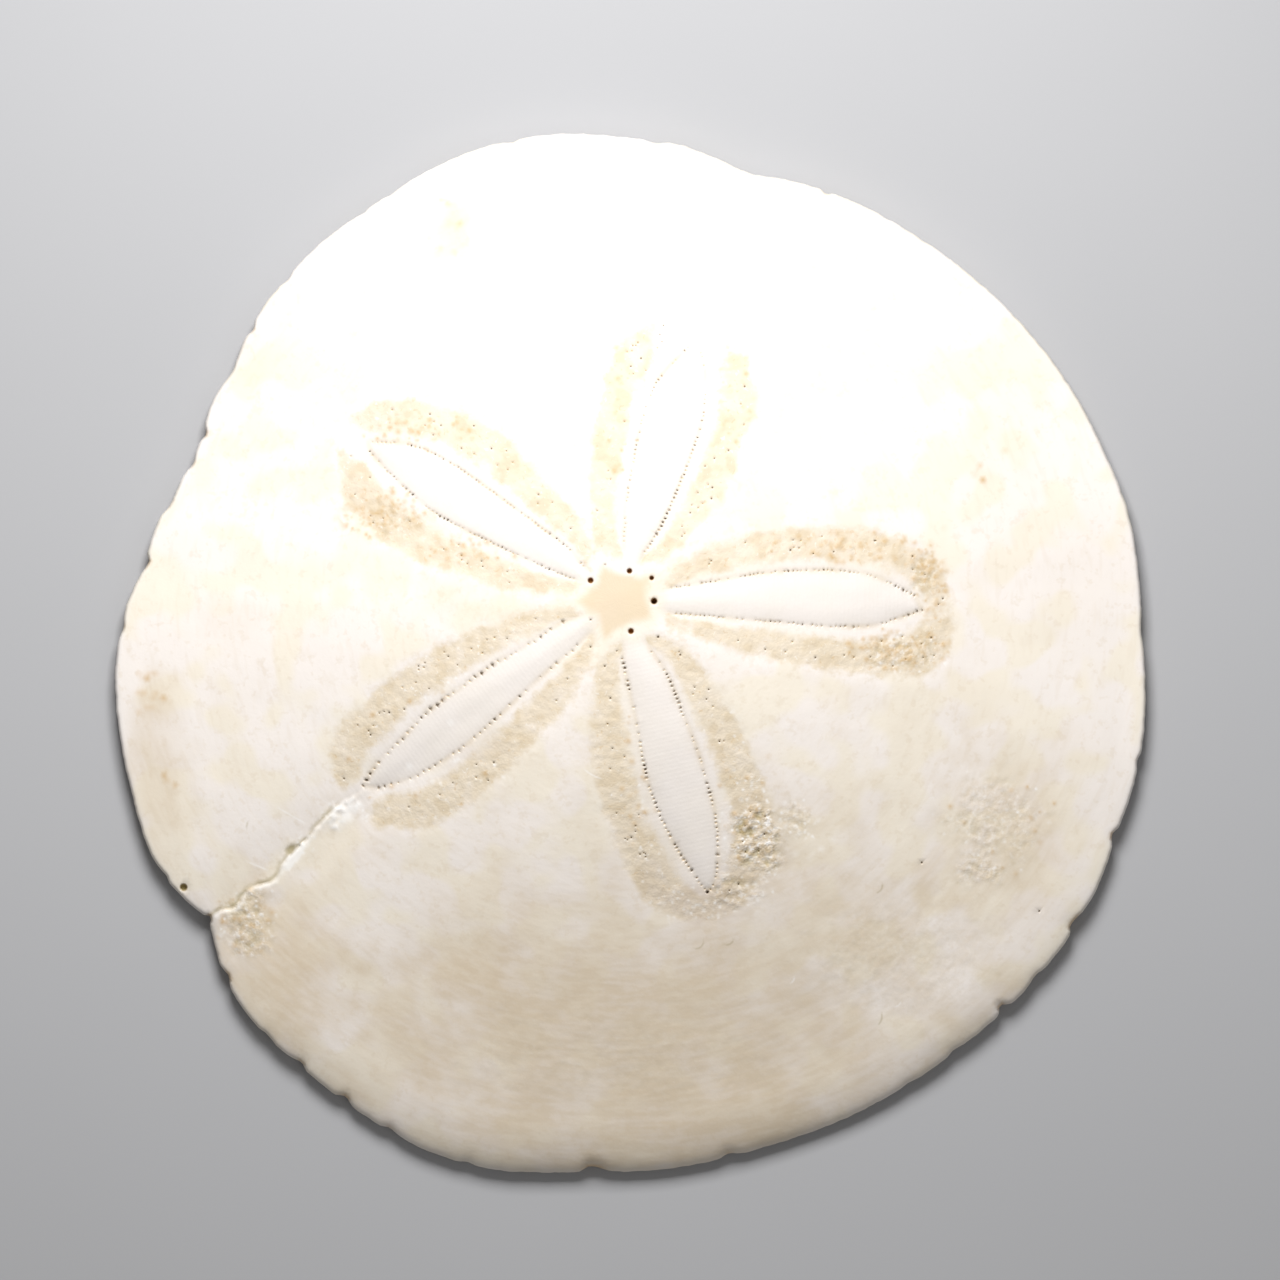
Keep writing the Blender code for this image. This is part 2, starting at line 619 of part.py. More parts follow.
def shell_mesh():
    """Join the upper surface and the underside along the nose of the rim."""
    nose = ring(0.0)
    top, top_faces, top_nose = surface(nose, top_points(), top_height)
    under, under_faces, under_nose = surface(nose, under_points(), under_height)
    shared = dict(zip(under_nose, top_nose))
    renumbered = {}
    positions = [tuple(place) for place in top]
    for index, place in enumerate(under):
        if index in shared:
            renumbered[index] = shared[index]
        else:
            renumbered[index] = len(positions)
            positions.append(tuple(place))
    faces = [tuple(face) for face in top_faces]
    faces += [tuple(renumbered[i] for i in reversed(face)) for face in under_faces]
    positions = np.array(positions)
    low, high = positions.min(axis=0), positions.max(axis=0)
    middle = np.array(((low[0] + high[0]) / 2, (low[1] + high[1]) / 2, low[2]))
    mesh = bpy.data.meshes.new("sand_dollar_shell")
    mesh.from_pydata(((positions - middle) * MM).tolist(), [], faces)
    mesh.validate()
    mesh.shade_smooth()
    return mesh


def shell_material():
    """Sun-bleached, chalky shell."""
    material = bpy.data.materials.new("bleached_shell")
    material.use_nodes = True
    finish = material.node_tree.nodes["Principled BSDF"]
    finish.inputs["Base Color"].default_value = SHELL_COLOUR
    finish.inputs["Roughness"].default_value = SHELL_ROUGHNESS
    finish.inputs["Metallic"].default_value = 0.0
    return material


def main():
    clear_scene()
    mesh = shell_mesh()
    mesh.materials.append(shell_material())
    shell = bpy.data.objects.new("sand_dollar_shell", mesh)
    bpy.context.scene.collection.objects.link(shell)


main()
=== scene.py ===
"""The finish of a dried sand dollar: its fine surface, its colours and a plain studio stage.

Design values are in millimetres, and MM turns them into metres. Plan positions count
from the apex, the middle of the star on top, and bearings run anticlockwise from +X.
"""

import math
import random
from collections import namedtuple

import bpy
import numpy as np
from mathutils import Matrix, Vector, geometry, kdtree, noise


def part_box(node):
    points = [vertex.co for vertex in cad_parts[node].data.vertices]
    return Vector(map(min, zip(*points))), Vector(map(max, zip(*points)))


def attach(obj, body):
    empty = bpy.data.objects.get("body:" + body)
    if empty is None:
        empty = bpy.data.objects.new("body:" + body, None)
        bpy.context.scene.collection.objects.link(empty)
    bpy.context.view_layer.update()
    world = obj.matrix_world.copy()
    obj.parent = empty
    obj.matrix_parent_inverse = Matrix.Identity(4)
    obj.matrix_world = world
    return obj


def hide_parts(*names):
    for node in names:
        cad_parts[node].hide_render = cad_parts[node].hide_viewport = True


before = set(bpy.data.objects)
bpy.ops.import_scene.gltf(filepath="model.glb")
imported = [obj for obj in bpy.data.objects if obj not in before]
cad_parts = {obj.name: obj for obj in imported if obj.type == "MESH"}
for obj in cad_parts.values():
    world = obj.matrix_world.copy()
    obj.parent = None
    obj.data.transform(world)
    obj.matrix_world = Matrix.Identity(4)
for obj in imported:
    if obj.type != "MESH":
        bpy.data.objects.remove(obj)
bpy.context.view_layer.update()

bl_info = {
    "name": "Sand dollar",
    "version": (1, 0, 0),
    "blender": (4, 5, 0),
    "location": "View3D > Sidebar > Sand dollar",
    "description": "Builds a dried sand dollar's finished shell and its stage",
    "category": "Add Mesh",
}

MM = 0.001
FULL_TURN = 360.0
NODE = "sand_dollar_shell"
SEED = 11

# The rim seen from above: bearing in degrees, distance from the apex
RIM_KNOTS = (
    (0, 50.3), (9, 49.9), (17, 49.0), (27, 48.0), (39, 46.7), (53, 45.3), (63, 44.5),
    (69, 43.8), (73, 43.3), (78, 43.9), (82, 44.5), (90, 45.0), (98, 45.7), (105, 46.0),
    (114, 45.8), (121, 45.4), (133, 45.3), (143, 44.8), (150, 44.0), (154, 44.2),
    (160, 43.8), (165, 44.4), (171, 45.8), (176, 46.6), (181, 48.2), (188, 49.6),
    (193, 50.2), (201, 51.0), (208, 51.8), (212, 51.7), (215, 51.2), (217.6, 50.7),
    (220, 51.6), (223, 52.9), (228, 54.1), (235, 54.8), (242, 55.6), (250, 56.5),
    (257, 56.5), (265, 55.6), (275, 55.2), (285, 54.7), (295, 54.6), (308, 54.3),
    (320, 54.3), (328, 53.9), (335, 53.0), (343, 52.5), (349, 51.7), (354, 50.9),
)
WIDEST_REACH = max(reach for _, reach in RIM_KNOTS)
MIDDLING_REACH = RIM_KNOTS[0][1]
# Chips in the rim: bearing, depth, how far each runs before and after its bearing
RIM_CHIPS = (
    (63.3, 0.3, 0.5, 0.5), (85.8, 0.25, 0.8, 1.2), (103.4, 0.25, 0.5, 0.9),
    (119.5, 0.15, 0.6, 0.6), (123.6, 0.15, 0.6, 0.6), (136.0, 0.3, 0.6, 0.8),
    (143.6, 0.35, 0.5, 0.6), (149.6, 0.2, 0.8, 0.9), (158.1, 0.4, 0.6, 0.7),
    (162.3, 0.3, 0.9, 0.8), (168.0, 0.3, 1.4, 0.8), (175.0, 0.4, 0.3, 1.4),
    (183.0, 0.3, 1.1, 0.9), (211.0, 0.2, 0.7, 0.6), (217.5, 0.45, 0.35, 0.35),
    (223.6, 0.45, 0.9, 0.7), (230.6, 0.15, 0.6, 0.8), (235.4, 0.35, 1.2, 0.5),
    (240.7, 0.45, 0.6, 0.9), (246.0, 0.3, 0.5, 1.5), (254.5, 0.2, 0.6, 0.7),
    (266.6, 0.62, 0.5, 1.9), (281.0, 0.35, 0.8, 0.7), (300.5, 0.15, 0.5, 0.8),
    (306.2, 0.2, 0.4, 1.2), (313.1, 0.62, 0.55, 0.6), (318.0, 0.25, 1.3, 0.8),
    (324.1, 0.5, 0.4, 2.0), (334.5, 0.4, 0.8, 0.6), (343.0, 0.25, 0.8, 0.4),
    (357.0, 0.2, 1.4, 0.9),
)
CHIP_RUN = 1.0
STAINED_CHIP = 0.25
RIM_WEAR = 0.07

# The section from the rim to the apex: a thin, steep edge, and a rounded slope behind it
# that takes the share of the rise given here: bearing in degrees, share
SLOPE_KNOTS = (
    (0, 0.08), (15, 0.0), (185, 0.0), (200, 0.12), (215, 0.3), (228, 0.45), (240, 0.75),
    (255, 0.9), (268, 1.0), (290, 1.0), (302, 0.8), (315, 0.6), (330, 0.4), (345, 0.15),
)
EDGE_RUN = 0.5
EDGE_POWER = 3.0
SLOPE_RUN = 5.0
ROUND_POWER = 2.0
NOSE_HEIGHT = 1.3
NOSE_DROP = 0.4
EDGE_TOP = 2.7
CALM_RUN = 2.6
DOME_HEIGHT = 11.1
DOME_ROUND_SHARE = 0.45
UNDER_RUN = 2.6
FLAT_RING_INNER = 12.0
HOLLOW_DEPTH = 1.9
HOLLOW_POWER = 1.5
# Unevenness of the upper surface, from slow to fine: height, length, seed
SURFACE_WAVES = ((0.18, 17.0, SEED / 3), (0.05, 4.0, 15.0), (0.012, 1.2, 16.0))

# The petals: (along, across) from the apex on the petal's bearing, + across to the left.
# Each row's pores: share that is open, pitch, size. The tip, where the band is missing:
# along from where, about which across, how wide each way, how fully
PETALS = {
    "top": {
        "bearing": 76.0,
        "rows": ((0.12, 0.42, 0.8), (0.24, 0.42, 0.85)),
        "tip": (22.5, -0.5, 5.5, 1.0),
        "edge": (
            (4.6, 3.2), (8.5, 5.1), (12.3, 6.0), (16.2, 6.4), (21.8, 6.5), (25.6, 4.7),
            (27.7, 1.2), (27.8, -1.8), (26.3, -4.6), (24.6, -6.5), (21.6, -7.7),
            (17.8, -7.7), (13.0, -6.8), (9.4, -5.6), (5.4, -3.2), (4.4, -1.4), (4.2, 1.2),
        ),
        "left": ((5.6, 1.2), (9.8, 1.9), (15.9, 2.3), (19.3, 2.2), (22.0, 1.5), (25.2, -0.3)),
        "right": ((5.1, -1.0), (7.3, -1.8), (11.4, -2.6), (17.7, -3.3), (20.6, -3.1),
                  (24.0, -2.2), (25.4, -1.4)),
    },
    "right": {
        "bearing": 0.0,
        "rows": ((0.3, 0.42, 0.85), (0.2, 0.45, 0.85)),
        "tip": (29.5, -0.6, 2.0, 0.5),
        "edge": (
            (5.0, 2.6), (8.8, 5.0), (12.5, 6.2), (16.2, 6.7), (21.2, 7.0), (24.9, 6.2),
            (28.5, 4.9), (31.0, 2.2), (31.7, -1.2), (31.3, -4.8), (29.4, -6.9),
            (24.9, -6.9), (18.7, -6.3), (13.7, -5.1), (8.8, -3.7), (5.0, -2.3), (4.4, 0.4),
        ),
        "left": ((4.8, 1.2), (7.4, 1.6), (13.5, 2.6), (17.7, 2.9), (21.7, 2.8), (24.6, 2.2),
                 (28.2, 0.5)),
        "right": ((4.8, -1.2), (10.7, -1.7), (17.7, -2.3), (20.9, -2.5), (24.6, -2.3),
                  (28.9, -0.9)),
    },
    "bottom": {
        "bearing": 283.0,
        "rows": ((0.3, 0.43, 0.95), (0.34, 0.43, 0.95)),
        "tip": (31.0, 1.0, 1.0, 0.0),
        "edge": (
            (4.7, 3.2), (6.3, 5.0), (9.1, 6.3), (12.3, 7.3), (15.6, 8.1), (21.3, 9.3),
            (26.2, 8.6), (29.7, 6.2), (31.4, 3.0), (31.5, 0.3), (30.4, -2.1), (28.3, -4.2),
            (22.9, -5.5), (19.7, -6.0), (15.7, -5.9), (11.6, -5.5), (8.0, -4.4),
            (5.0, -3.0), (4.2, 0.2),
        ),
        "left": ((5.4, 1.7), (8.2, 2.7), (11.6, 3.2), (15.4, 3.8), (21.5, 4.1), (25.1, 3.7),
                 (28.0, 2.8), (29.0, 2.1)),
        "right": ((5.5, -1.2), (12.6, -1.3), (16.7, -1.5), (20.1, -1.2), (23.7, -0.4),
                  (27.1, 0.8), (28.8, 1.5)),
    },
    "lower left": {
        "bearing": 216.0,
        "rows": ((0.32, 0.66, 1.0), (0.46, 0.66, 1.15)),
        "tip": (29.3, 0.4, 2.6, 0.9),
        "edge": (
            (4.8, 1.8), (8.9, 4.2), (12.4, 5.4), (18.7, 6.5), (22.6, 7.0), (26.4, 6.7),
            (29.4, 5.2), (31.8, 3.2), (32.6, 0.4), (32.2, -2.8), (30.0, -5.4), (26.7, -6.3),
            (21.4, -6.8), (16.6, -6.6), (11.6, -5.3), (7.5, -3.9), (4.8, -2.3), (4.3, -0.2),
        ),
        "left": ((6.0, 1.0), (11.1, 1.4), (17.7, 2.2), (21.5, 2.4), (25.9, 2.0), (29.6, 0.8)),
        "right": ((5.8, -1.7), (10.7, -1.9), (14.0, -2.3), (21.3, -2.3), (24.2, -1.8),
                  (28.1, -1.2), (30.6, -0.2)),
    },
    "upper left": {
        "bearing": 150.0,
        "rows": ((0.3, 0.42, 0.8), (0.28, 0.42, 0.85)),
        "tip": (27.6, -0.3, 2.2, 0.9),
        "edge": (
            (4.8, 1.5), (8.8, 3.7), (12.7, 5.0), (19.3, 6.1), (23.1, 6.2), (27.7, 4.8),
            (29.8, 2.7), (31.0, 0.4), (31.0, -2.2), (29.4, -5.0), (26.1, -6.7),
            (22.2, -7.7), (18.7, -7.9), (15.6, -7.2), (9.3, -5.1), (6.3, -3.7), (4.6, -1.9),
        ),
        "left": ((5.0, 0.5), (8.6, 1.0), (14.2, 1.5), (18.9, 1.7), (21.5, 1.5), (26.2, 0.4),
                 (28.2, -0.3)),
        "right": ((4.8, -1.0), (7.2, -1.8), (12.3, -2.4), (16.8, -2.9), (20.3, -3.2),
                  (23.5, -3.1), (26.0, -2.5), (28.8, -1.0)),
    },
}
PETAL_REACH = 35.0
BAND_SHOULDER = 1.7
EDGE_WOBBLE = 0.5
MIDDLE_SHOULDER = 2.2
STRIP_SHARE = 0.04
STRIP_FADE = 0.48
BAND_GRAIN_HEIGHT = 0.05
GRIT_HEIGHT = 0.02
ROW_HALF_WIDTH = 0.3
ROW_GROOVE_DEPTH = 0.05
LINE_STEP = 0.6
# How a row's pores vary: over how many of them they silt up and open again, how far they
# stray as a share of the pitch, how far they turn in radians, and their length and width
# as shares of their size
PORE_RUN = 5.0
PORE_STRAY = 0.13
PORE_TURN = 0.35
PORE_LONG = (1.1, 1.7)
PORE_SHORT = (0.55, 0.85)
# Loose pores in each petal's outer band: how many, from how many tries, and how wide
OUTER_PORES = 34
OUTER_PORE_TRIES = 8 * OUTER_PORES
OUTER_PORE_RADII = (0.06, 0.11)
# The painted highlight on a pore's sunlit lower lip: how far below it, and its half length and half
# width
PAINTED_HIGHLIGHT_DROP = 0.07
PAINTED_HIGHLIGHT_HALF_LONG = 0.12
PAINTED_HIGHLIGHT_HALF_SHORT = 0.06

# The star plate, the five holes round it and one in the rim: place from the apex,
# radius, depth, and 0 for a brown hole or 1 for an olive one
STAR_TIPS = ((-4.3, -0.1), (-1.8, 3.3), (2.7, 2.2), (2.8, -1.5), (-1.6, -3.6))
STAR_WAIST_SHARE = 0.84
STAR_SHOULDER = 1.1
HOLES = (
    (-3.0, 1.93, 0.28, 0.7, 0.0), (0.73, 2.84, 0.26, 0.7, 0.0), (2.86, 2.17, 0.22, 0.7, 0.2),
    (3.09, -0.05, 0.31, 1.4, 0.3), (0.87, -2.94, 0.28, 0.7, 0.0), (-42.4, -27.7, 0.36, 0.6, 1.0),
)
# Small dark pits: place, radius, depth, darkness
PITS = (
    (8.22, -28.05, 0.16, 0.6, 1.0), (28.92, -25.24, 0.12, 0.3, 0.7), (40.33, -29.98, 0.12, 0.3, 0.7),
    (-3.0, -4.45, 0.1, 0.3, 0.6), (-0.48, -4.84, 0.09, 0.2, 0.4), (-1.64, -6.29, 0.11, 0.3, 0.6),
    (5.61, -5.22, 0.12, 0.3, 0.6), (3.48, -3.48, 0.13, 0.4, 0.8), (-3.0, -1.84, 0.12, 0.3, 0.5),
    (-1.6, 3.44, 0.12, 0.2, 0.4),
)

# The healed crack from the lower-left petal to the rim, with its raised far bank
CRACK = (
    (-25.9, -18.9), (-27.5, -19.9), (-29.1, -21.4), (-30.1, -22.7), (-31.0, -23.5),
    (-31.9, -24.4), (-32.75, -25.4), (-33.3, -26.5), (-33.9, -27.1), (-35.6, -27.6),
    (-36.5, -28.3), (-37.4, -29.5), (-38.7, -29.9), (-39.5, -30.4), (-40.0, -30.9),
)
CRACK_STEP = 0.25
CRACK_HALF_WIDTH = 0.17
CRACK_WOBBLE = 0.14
CRACK_OPENING = 2.2
CRACK_BANK_REACH = 2.6
CRACK_HOLLOW_DEPTH = 0.12
# The olive hollow on the crack, the white rubble at its start and the white stretch of
# its bank, partly its own white and partly a painted highlight: centre x and y, reach along and
# across, turn
CRACK_HOLLOW = (-32.0, -24.0, 0.7, 0.42, 42.0)
CRACK_RUBBLE = (-26.9, -20.5, 2.5, 1.25, 42.0)
CRACK_WHITE = (-31.6, -24.7, 2.6, 0.65, 50.0)

# Rough, crusty patches: centre x and y, reach x and y, strength
CRUSTS = (
    (12.7, -22.9, 3.5, 4.6, 1.0), (16.6, -21.0, 3.4, 2.2, 0.35), (11.0, -28.0, 3.8, 2.3, 0.55),
    (26.8, -4.9, 4.8, 2.2, 0.45), (28.9, 2.6, 2.2, 3.2, 0.3), (-21.6, 7.6, 5.4, 2.2, 0.25),
    (36.0, -21.0, 6.4, 6.0, 0.28), (34.6, -26.0, 3.2, 2.4, 0.4), (-36.1, -31.6, 3.6, 3.8, 0.5),
    (-35.6, -28.6, 1.8, 1.3, 0.5), (27.0, -34.5, 13.0, 8.5, 0.12), (0.0, -44.0, 26.0, 6.0, 0.08),
)
CRUST_HEIGHT = 0.15
CRUMB_HEIGHT = 0.04
# Orange-brown crumbs: centre x and y, reach x and y, how many
ORANGE_CRUMBS = (
    (26.6, -4.8, 5.2, 2.2, 120), (29.5, 2.0, 1.8, 4.2, 56), (29.0, 3.4, 2.0, 1.6, 30),
    (21.5, 5.2, 7.5, 1.6, 64), (-19.6, 16.2, 5.6, 2.0, 50), (-23.4, 8.4, 4.4, 2.6, 90),
    (-14.0, 4.9, 5.5, 1.4, 36), (-0.5, 18.5, 1.6, 7.0, 16), (11.0, 17.5, 2.0, 8.0, 16),
    (12.6, -19.0, 3.4, 6.5, 20), (2.0, -17.5, 2.2, 8.5, 30), (-19.5, -14.5, 7.0, 6.5, 14),
    (-36.4, -31.2, 3.4, 3.4, 40), (37.0, -22.0, 6.4, 6.0, 14), (-16.6, 36.6, 2.6, 3.6, 16),
    (34.0, 14.0, 4.0, 12.0, 8), (-45.6, -9.0, 1.6, 2.4, 16), (-44.0, -17.5, 1.0, 2.0, 8),
)
CRUMB_RADII = (0.1, 0.28)
# White specks in the bands, on the crusts and on the crack's rubble, given in the same way
WHITE_SPECKS = (
    (8.0, -29.4, 6.0, 2.6, 70), (13.0, -23.0, 4.0, 6.0, 110), (17.0, -22.0, 3.4, 3.0, 30),
    (2.2, -20.0, 2.2, 8.0, 26), (11.5, -13.5, 2.2, 6.0, 14), (-15.5, -8.0, 8.0, 4.0, 34),
    (-17.5, -17.5, 8.0, 3.4, 34), (-36.0, -30.5, 3.4, 3.4, 30), (-26.8, -20.6, 2.4, 1.5, 70),
    (-30.3, -23.2, 1.4, 1.4, 16), (27.0, -5.0, 4.6, 2.2, 24), (36.0, -22.0, 8.0, 7.0, 30),
)
SPECK_RADII = (0.07, 0.15)
# Fine scratches and hairs: middle x and y, length, turn, how much each end bends
WHITE_SCRATCHES = (
    (-31.9, -20.7, 2.9, -30.0, 0.0), (-35.2, -25.6, 1.8, -22.0, 0.0), (-2.8, -16.7, 1.8, -28.0, 0.1),
    (26.7, -39.0, 0.7, 40.0, 0.1), (16.5, -36.6, 0.6, 60.0, 0.1),
)
OLIVE_HAIRS = (
    (7.5, -33.3, 1.0, 35.0, 0.2), (10.4, -33.0, 0.8, 30.0, 0.15), (25.0, -40.4, 1.1, 75.0, 0.15),
    (24.9, -27.8, 1.0, 55.0, 0.2), (-36.2, -21.6, 0.5, 80.0, 0.0),
)
SCRATCH_WIDTH = 0.05
SCRATCH_KNOTS = 9

# Beige stains on the upper surface, partly real stains and partly painted shade that darkens the
# lower half and the lower rim,
# and pale patches in them: centre x and y, reach x and y, strength
STAINS_AND_SHADE = (
    (2.0, -44.0, 62.0, 46.0, 0.46), (0.0, -42.0, 38.0, 15.0, 0.66), (8.0, -52.0, 26.0, 9.0, 0.6),
    (-33.0, -36.0, 10.0, 11.0, 0.75), (38.0, -22.0, 13.0, 13.0, 0.5), (22.0, -29.0, 12.0, 7.0, 0.35),
    (-36.5, -31.0, 4.8, 4.4, 0.5), (-45.3, -9.8, 2.2, 3.2, 0.5), (-45.0, -18.0, 4.6, 13.0, 0.5),
    (-38.0, -1.5, 7.0, 4.5, 0.15), (-16.2, 36.4, 3.4, 4.6, 0.5), (-36.0, 22.3, 5.0, 5.0, 0.35),
    (36.0, 18.0, 9.0, 14.0, 0.2), (44.0, 0.0, 5.0, 12.0, 0.08), (33.0, -9.0, 9.0, 5.0, 0.15),
    (16.0, 3.0, 16.0, 8.0, 0.22), (-14.0, 0.0, 12.0, 4.0, 0.25), (-13.0, -37.0, 11.0, 6.0, 0.6),
    (38.0, -37.0, 5.0, 4.0, 0.6),
)
PALE_PATCHES = (
    (-29.5, -11.0, 7.0, 9.5, 0.8), (-23.3, -28.8, 5.5, 4.4, 0.75), (-8.1, -20.4, 4.6, 5.2, 0.7),
    (-15.9, -25.7, 3.6, 3.0, 0.5), (-5.5, -31.4, 3.0, 2.4, 0.4), (16.5, -12.1, 4.4, 3.2, 0.6),
    (-5.5, -12.1, 3.0, 3.0, 0.5), (27.0, -15.5, 3.4, 2.4, 0.4), (40.0, -34.0, 6.0, 4.0, 0.5),
    (47.0, -20.0, 3.0, 8.0, 0.5), (-42.0, -24.0, 2.6, 2.6, 0.4), (-6.0, -25.2, 5.0, 4.0, 0.6),
    (13.0, -9.4, 3.4, 2.4, 0.6), (-17.5, -22.5, 7.0, 5.0, 0.5), (44.5, -19.0, 4.0, 7.0, 0.5),
    (46.0, 0.0, 4.0, 9.0, 0.35), (42.0, -33.0, 5.0, 5.0, 0.3),
)
# Grey-brown dirt in the petals' hollows, and painted shade on the lower-left petal's strip that
# faces away from the light: centre x and y, reach x and y, strength
DIRT_AND_SHADE = (
    (7.4, -29.2, 6.5, 2.6, 0.8), (11.5, -26.0, 3.2, 3.4, 0.5), (13.4, -21.5, 4.0, 5.0, 0.4),
    (-13.6, -13.6, 4.4, 2.0, 0.35), (3.0, -27.0, 2.4, 3.0, 0.4),
)

# The underside: mouth, food grooves and the small vent near the rim
MOUTH_RADIUS = 2.3
MOUTH_SLOPE = 3.4
MOUTH_DEPTH = 2.6
GROOVE_REACH_SHARE = 0.8
GROOVE_HALF_WIDTH = 0.8
GROOVE_DEPTH = 0.45
GROOVE_WANDER = 0.25
VENT_BEARING = 183.0
VENT_FROM_RIM = 6.5
VENT_RADIUS = 1.3
VENT_DEPTH = 1.1

# The faint striations across the petals
RIB_PITCH = 0.4
RIB_HEIGHT = 0.035
# Sizes of the blots of colour and relief: clouds of chalk, blotches in the bands, flecks,
# sandy grains, fine grain, and the knobs of the underside
CLOUD_SIZE = 5.0
BLOTCH_SIZE = 1.9
FLECK_SIZE = 1.0
SAND_SIZE = 0.5
GRAIN_SIZE = 0.4
KNOB_SIZE = 0.75
# Growth streaks: how many there are to a radian round the shell, and to a millimetre outward
STREAKS_ROUND = 15.0
STREAKS_OUTWARD = 1.5
BUMP_STRENGTH = 0.6
BUMP_HEIGHT = 0.06 * MM
SHELL_SPECULAR = 0.35

# How closely the surface is meshed
FINE_GRID = 0.238
COARSE_GRID = 0.54
UNDER_GRID = 0.95
RIM_STEP = 0.36
TOP_RINGS = (0.025, 0.07, 0.14, 0.24, 0.38, 0.6, 1.0)
UNDER_RINGS = (0.05, 0.2, 0.5, 1.0, 1.8)
# Points round holes, pores and the painted highlights on their lips: sides, and rings as shares of
# the radius
HOLE_SIDES = 12
HOLE_RINGS = (0.55, 0.78, 1.0, 1.3)
PORE_SIDES = 6
PORE_RINGS = (0.6, 1.3)
PAINTED_HIGHLIGHT_RINGS = (1.1,)
# Lines of points along the crack and the scratches, in half widths or widths to the side
CRACK_LINES = (-2.0, -1.0, 1.0, 2.0)
SCRATCH_LINES = (0.0, -1.0, 1.0, -3.0, 3.0)
SCRATCH_STEP = 0.12
# The gaps that points keep to those laid before them
RING_GAP = 0.03
SCRATCH_GAP = 0.06
CRACK_GAP = 0.08
BANK_GAP = 0.1
FINE_GAP = FINE_GRID * 0.5
COARSE_GAP = COARSE_GRID * 0.6
UNDER_GAP = UNDER_GRID * 0.5
INNER_RING_GAP = 0.15
MERGE_GAP = 1e-6
# How far the finely meshed patches reach from the apex and from the crack
STAR_PATCH = 5.0
CRACK_PATCH = 1.5

# What the mesh stores at each point for its colours and fine relief, besides the paint
LAYER_NAMES = ("band", "middle", "strip", "crust", "along", "stain_and_shade", "grit")
# Masks whose colours lie over one another: mask, strength, colour
# Among these, the highlights on the pores' lips and part of the lip mask are painted highlights, and
# the shade mask and part of the dirt are painted shade
OVERLAYS = (
    ("dirt_and_shade", 0.45, "taupe"), ("row", 0.42, "tan"), ("star", 0.85, "star"),
    ("orange", 0.75, "ochre"), ("shade", 0.6, "olive"), ("lip_and_highlight", 0.75, "white"),
    ("speck", 0.85, "white"), ("hair", 0.4, "olive"), ("chip", 0.6, "ochre"),
    ("filled", 0.5, "tan"), ("painted_highlight", 0.8, "white"), ("pore", 0.8, "pore"),
    ("hole", 1.0, "hole"), ("olive hole", 1.0, "olive"),
)

# Where the picture looks, from the apex, and how wide it is, in metres
VIEW_AIM = (1.74 * MM, -3.77 * MM)
VIEW_WIDTH = 0.1238
LENS = 400.0
SENSOR = 36.0
RIM_PLANE = 2.5 * MM

# The floor's half width and how far it lies below the shell, and the lights' places and
# sizes, in metres. Both lights face the middle of the floor
FLOOR_HALF = 1.5
FLOOR_DROP = 0.05 * MM
FLOOR_CLOUD_SIZE = 40.0
KEY_PLACE = (-0.01, 0.14, 0.19)
KEY_SIZE = 0.10
FILL_PLACE = (0.40, -0.30, 0.80)
FILL_SIZE = 0.50

# The flat map: the shares of its side that the two surfaces take, its margin, the room
# left round the widest rim, and how much the rim's slope is spread
TOP_MAP_SHARE = 0.83
UNDER_MAP_SHARE = 0.33
MAP_MARGIN = 0.005
MAP_ROOM = 3.0
RIM_MAP_STRETCH = 2.0

Pore = namedtuple("Pore", "x y turn half_long half_short depth dark")


class SandDollarSizes(bpy.types.PropertyGroup):
    """Sizes of the shell's relief"""

    pore_radius: bpy.props.FloatProperty(
        name="Pore radius", description="Radius of a row's middling pore",
        default=0.125 * MM, min=0.02 * MM, unit="LENGTH")
    pore_depth: bpy.props.FloatProperty(
        name="Pore depth", description="Depth of a row's deepest pores",
        default=0.34 * MM, min=0.0, unit="LENGTH")
    band_depth: bpy.props.FloatProperty(
        name="Band depth", description="How far the petals' rough bands lie below the shell",
        default=0.1 * MM, min=0.0, unit="LENGTH")
    middle_rise: bpy.props.FloatProperty(
        name="Middle rise", description="How far the petals' smooth middles swell up",
        default=0.084 * MM, min=0.0, unit="LENGTH")
    crack_depth: bpy.props.FloatProperty(
        name="Crack depth", description="Depth of the healed crack",
        default=0.22 * MM, min=0.0, unit="LENGTH")
    bank_rise: bpy.props.FloatProperty(
        name="Bank rise", description="How far the crack's far bank stands up",
        default=0.25 * MM, min=0.0, unit="LENGTH")


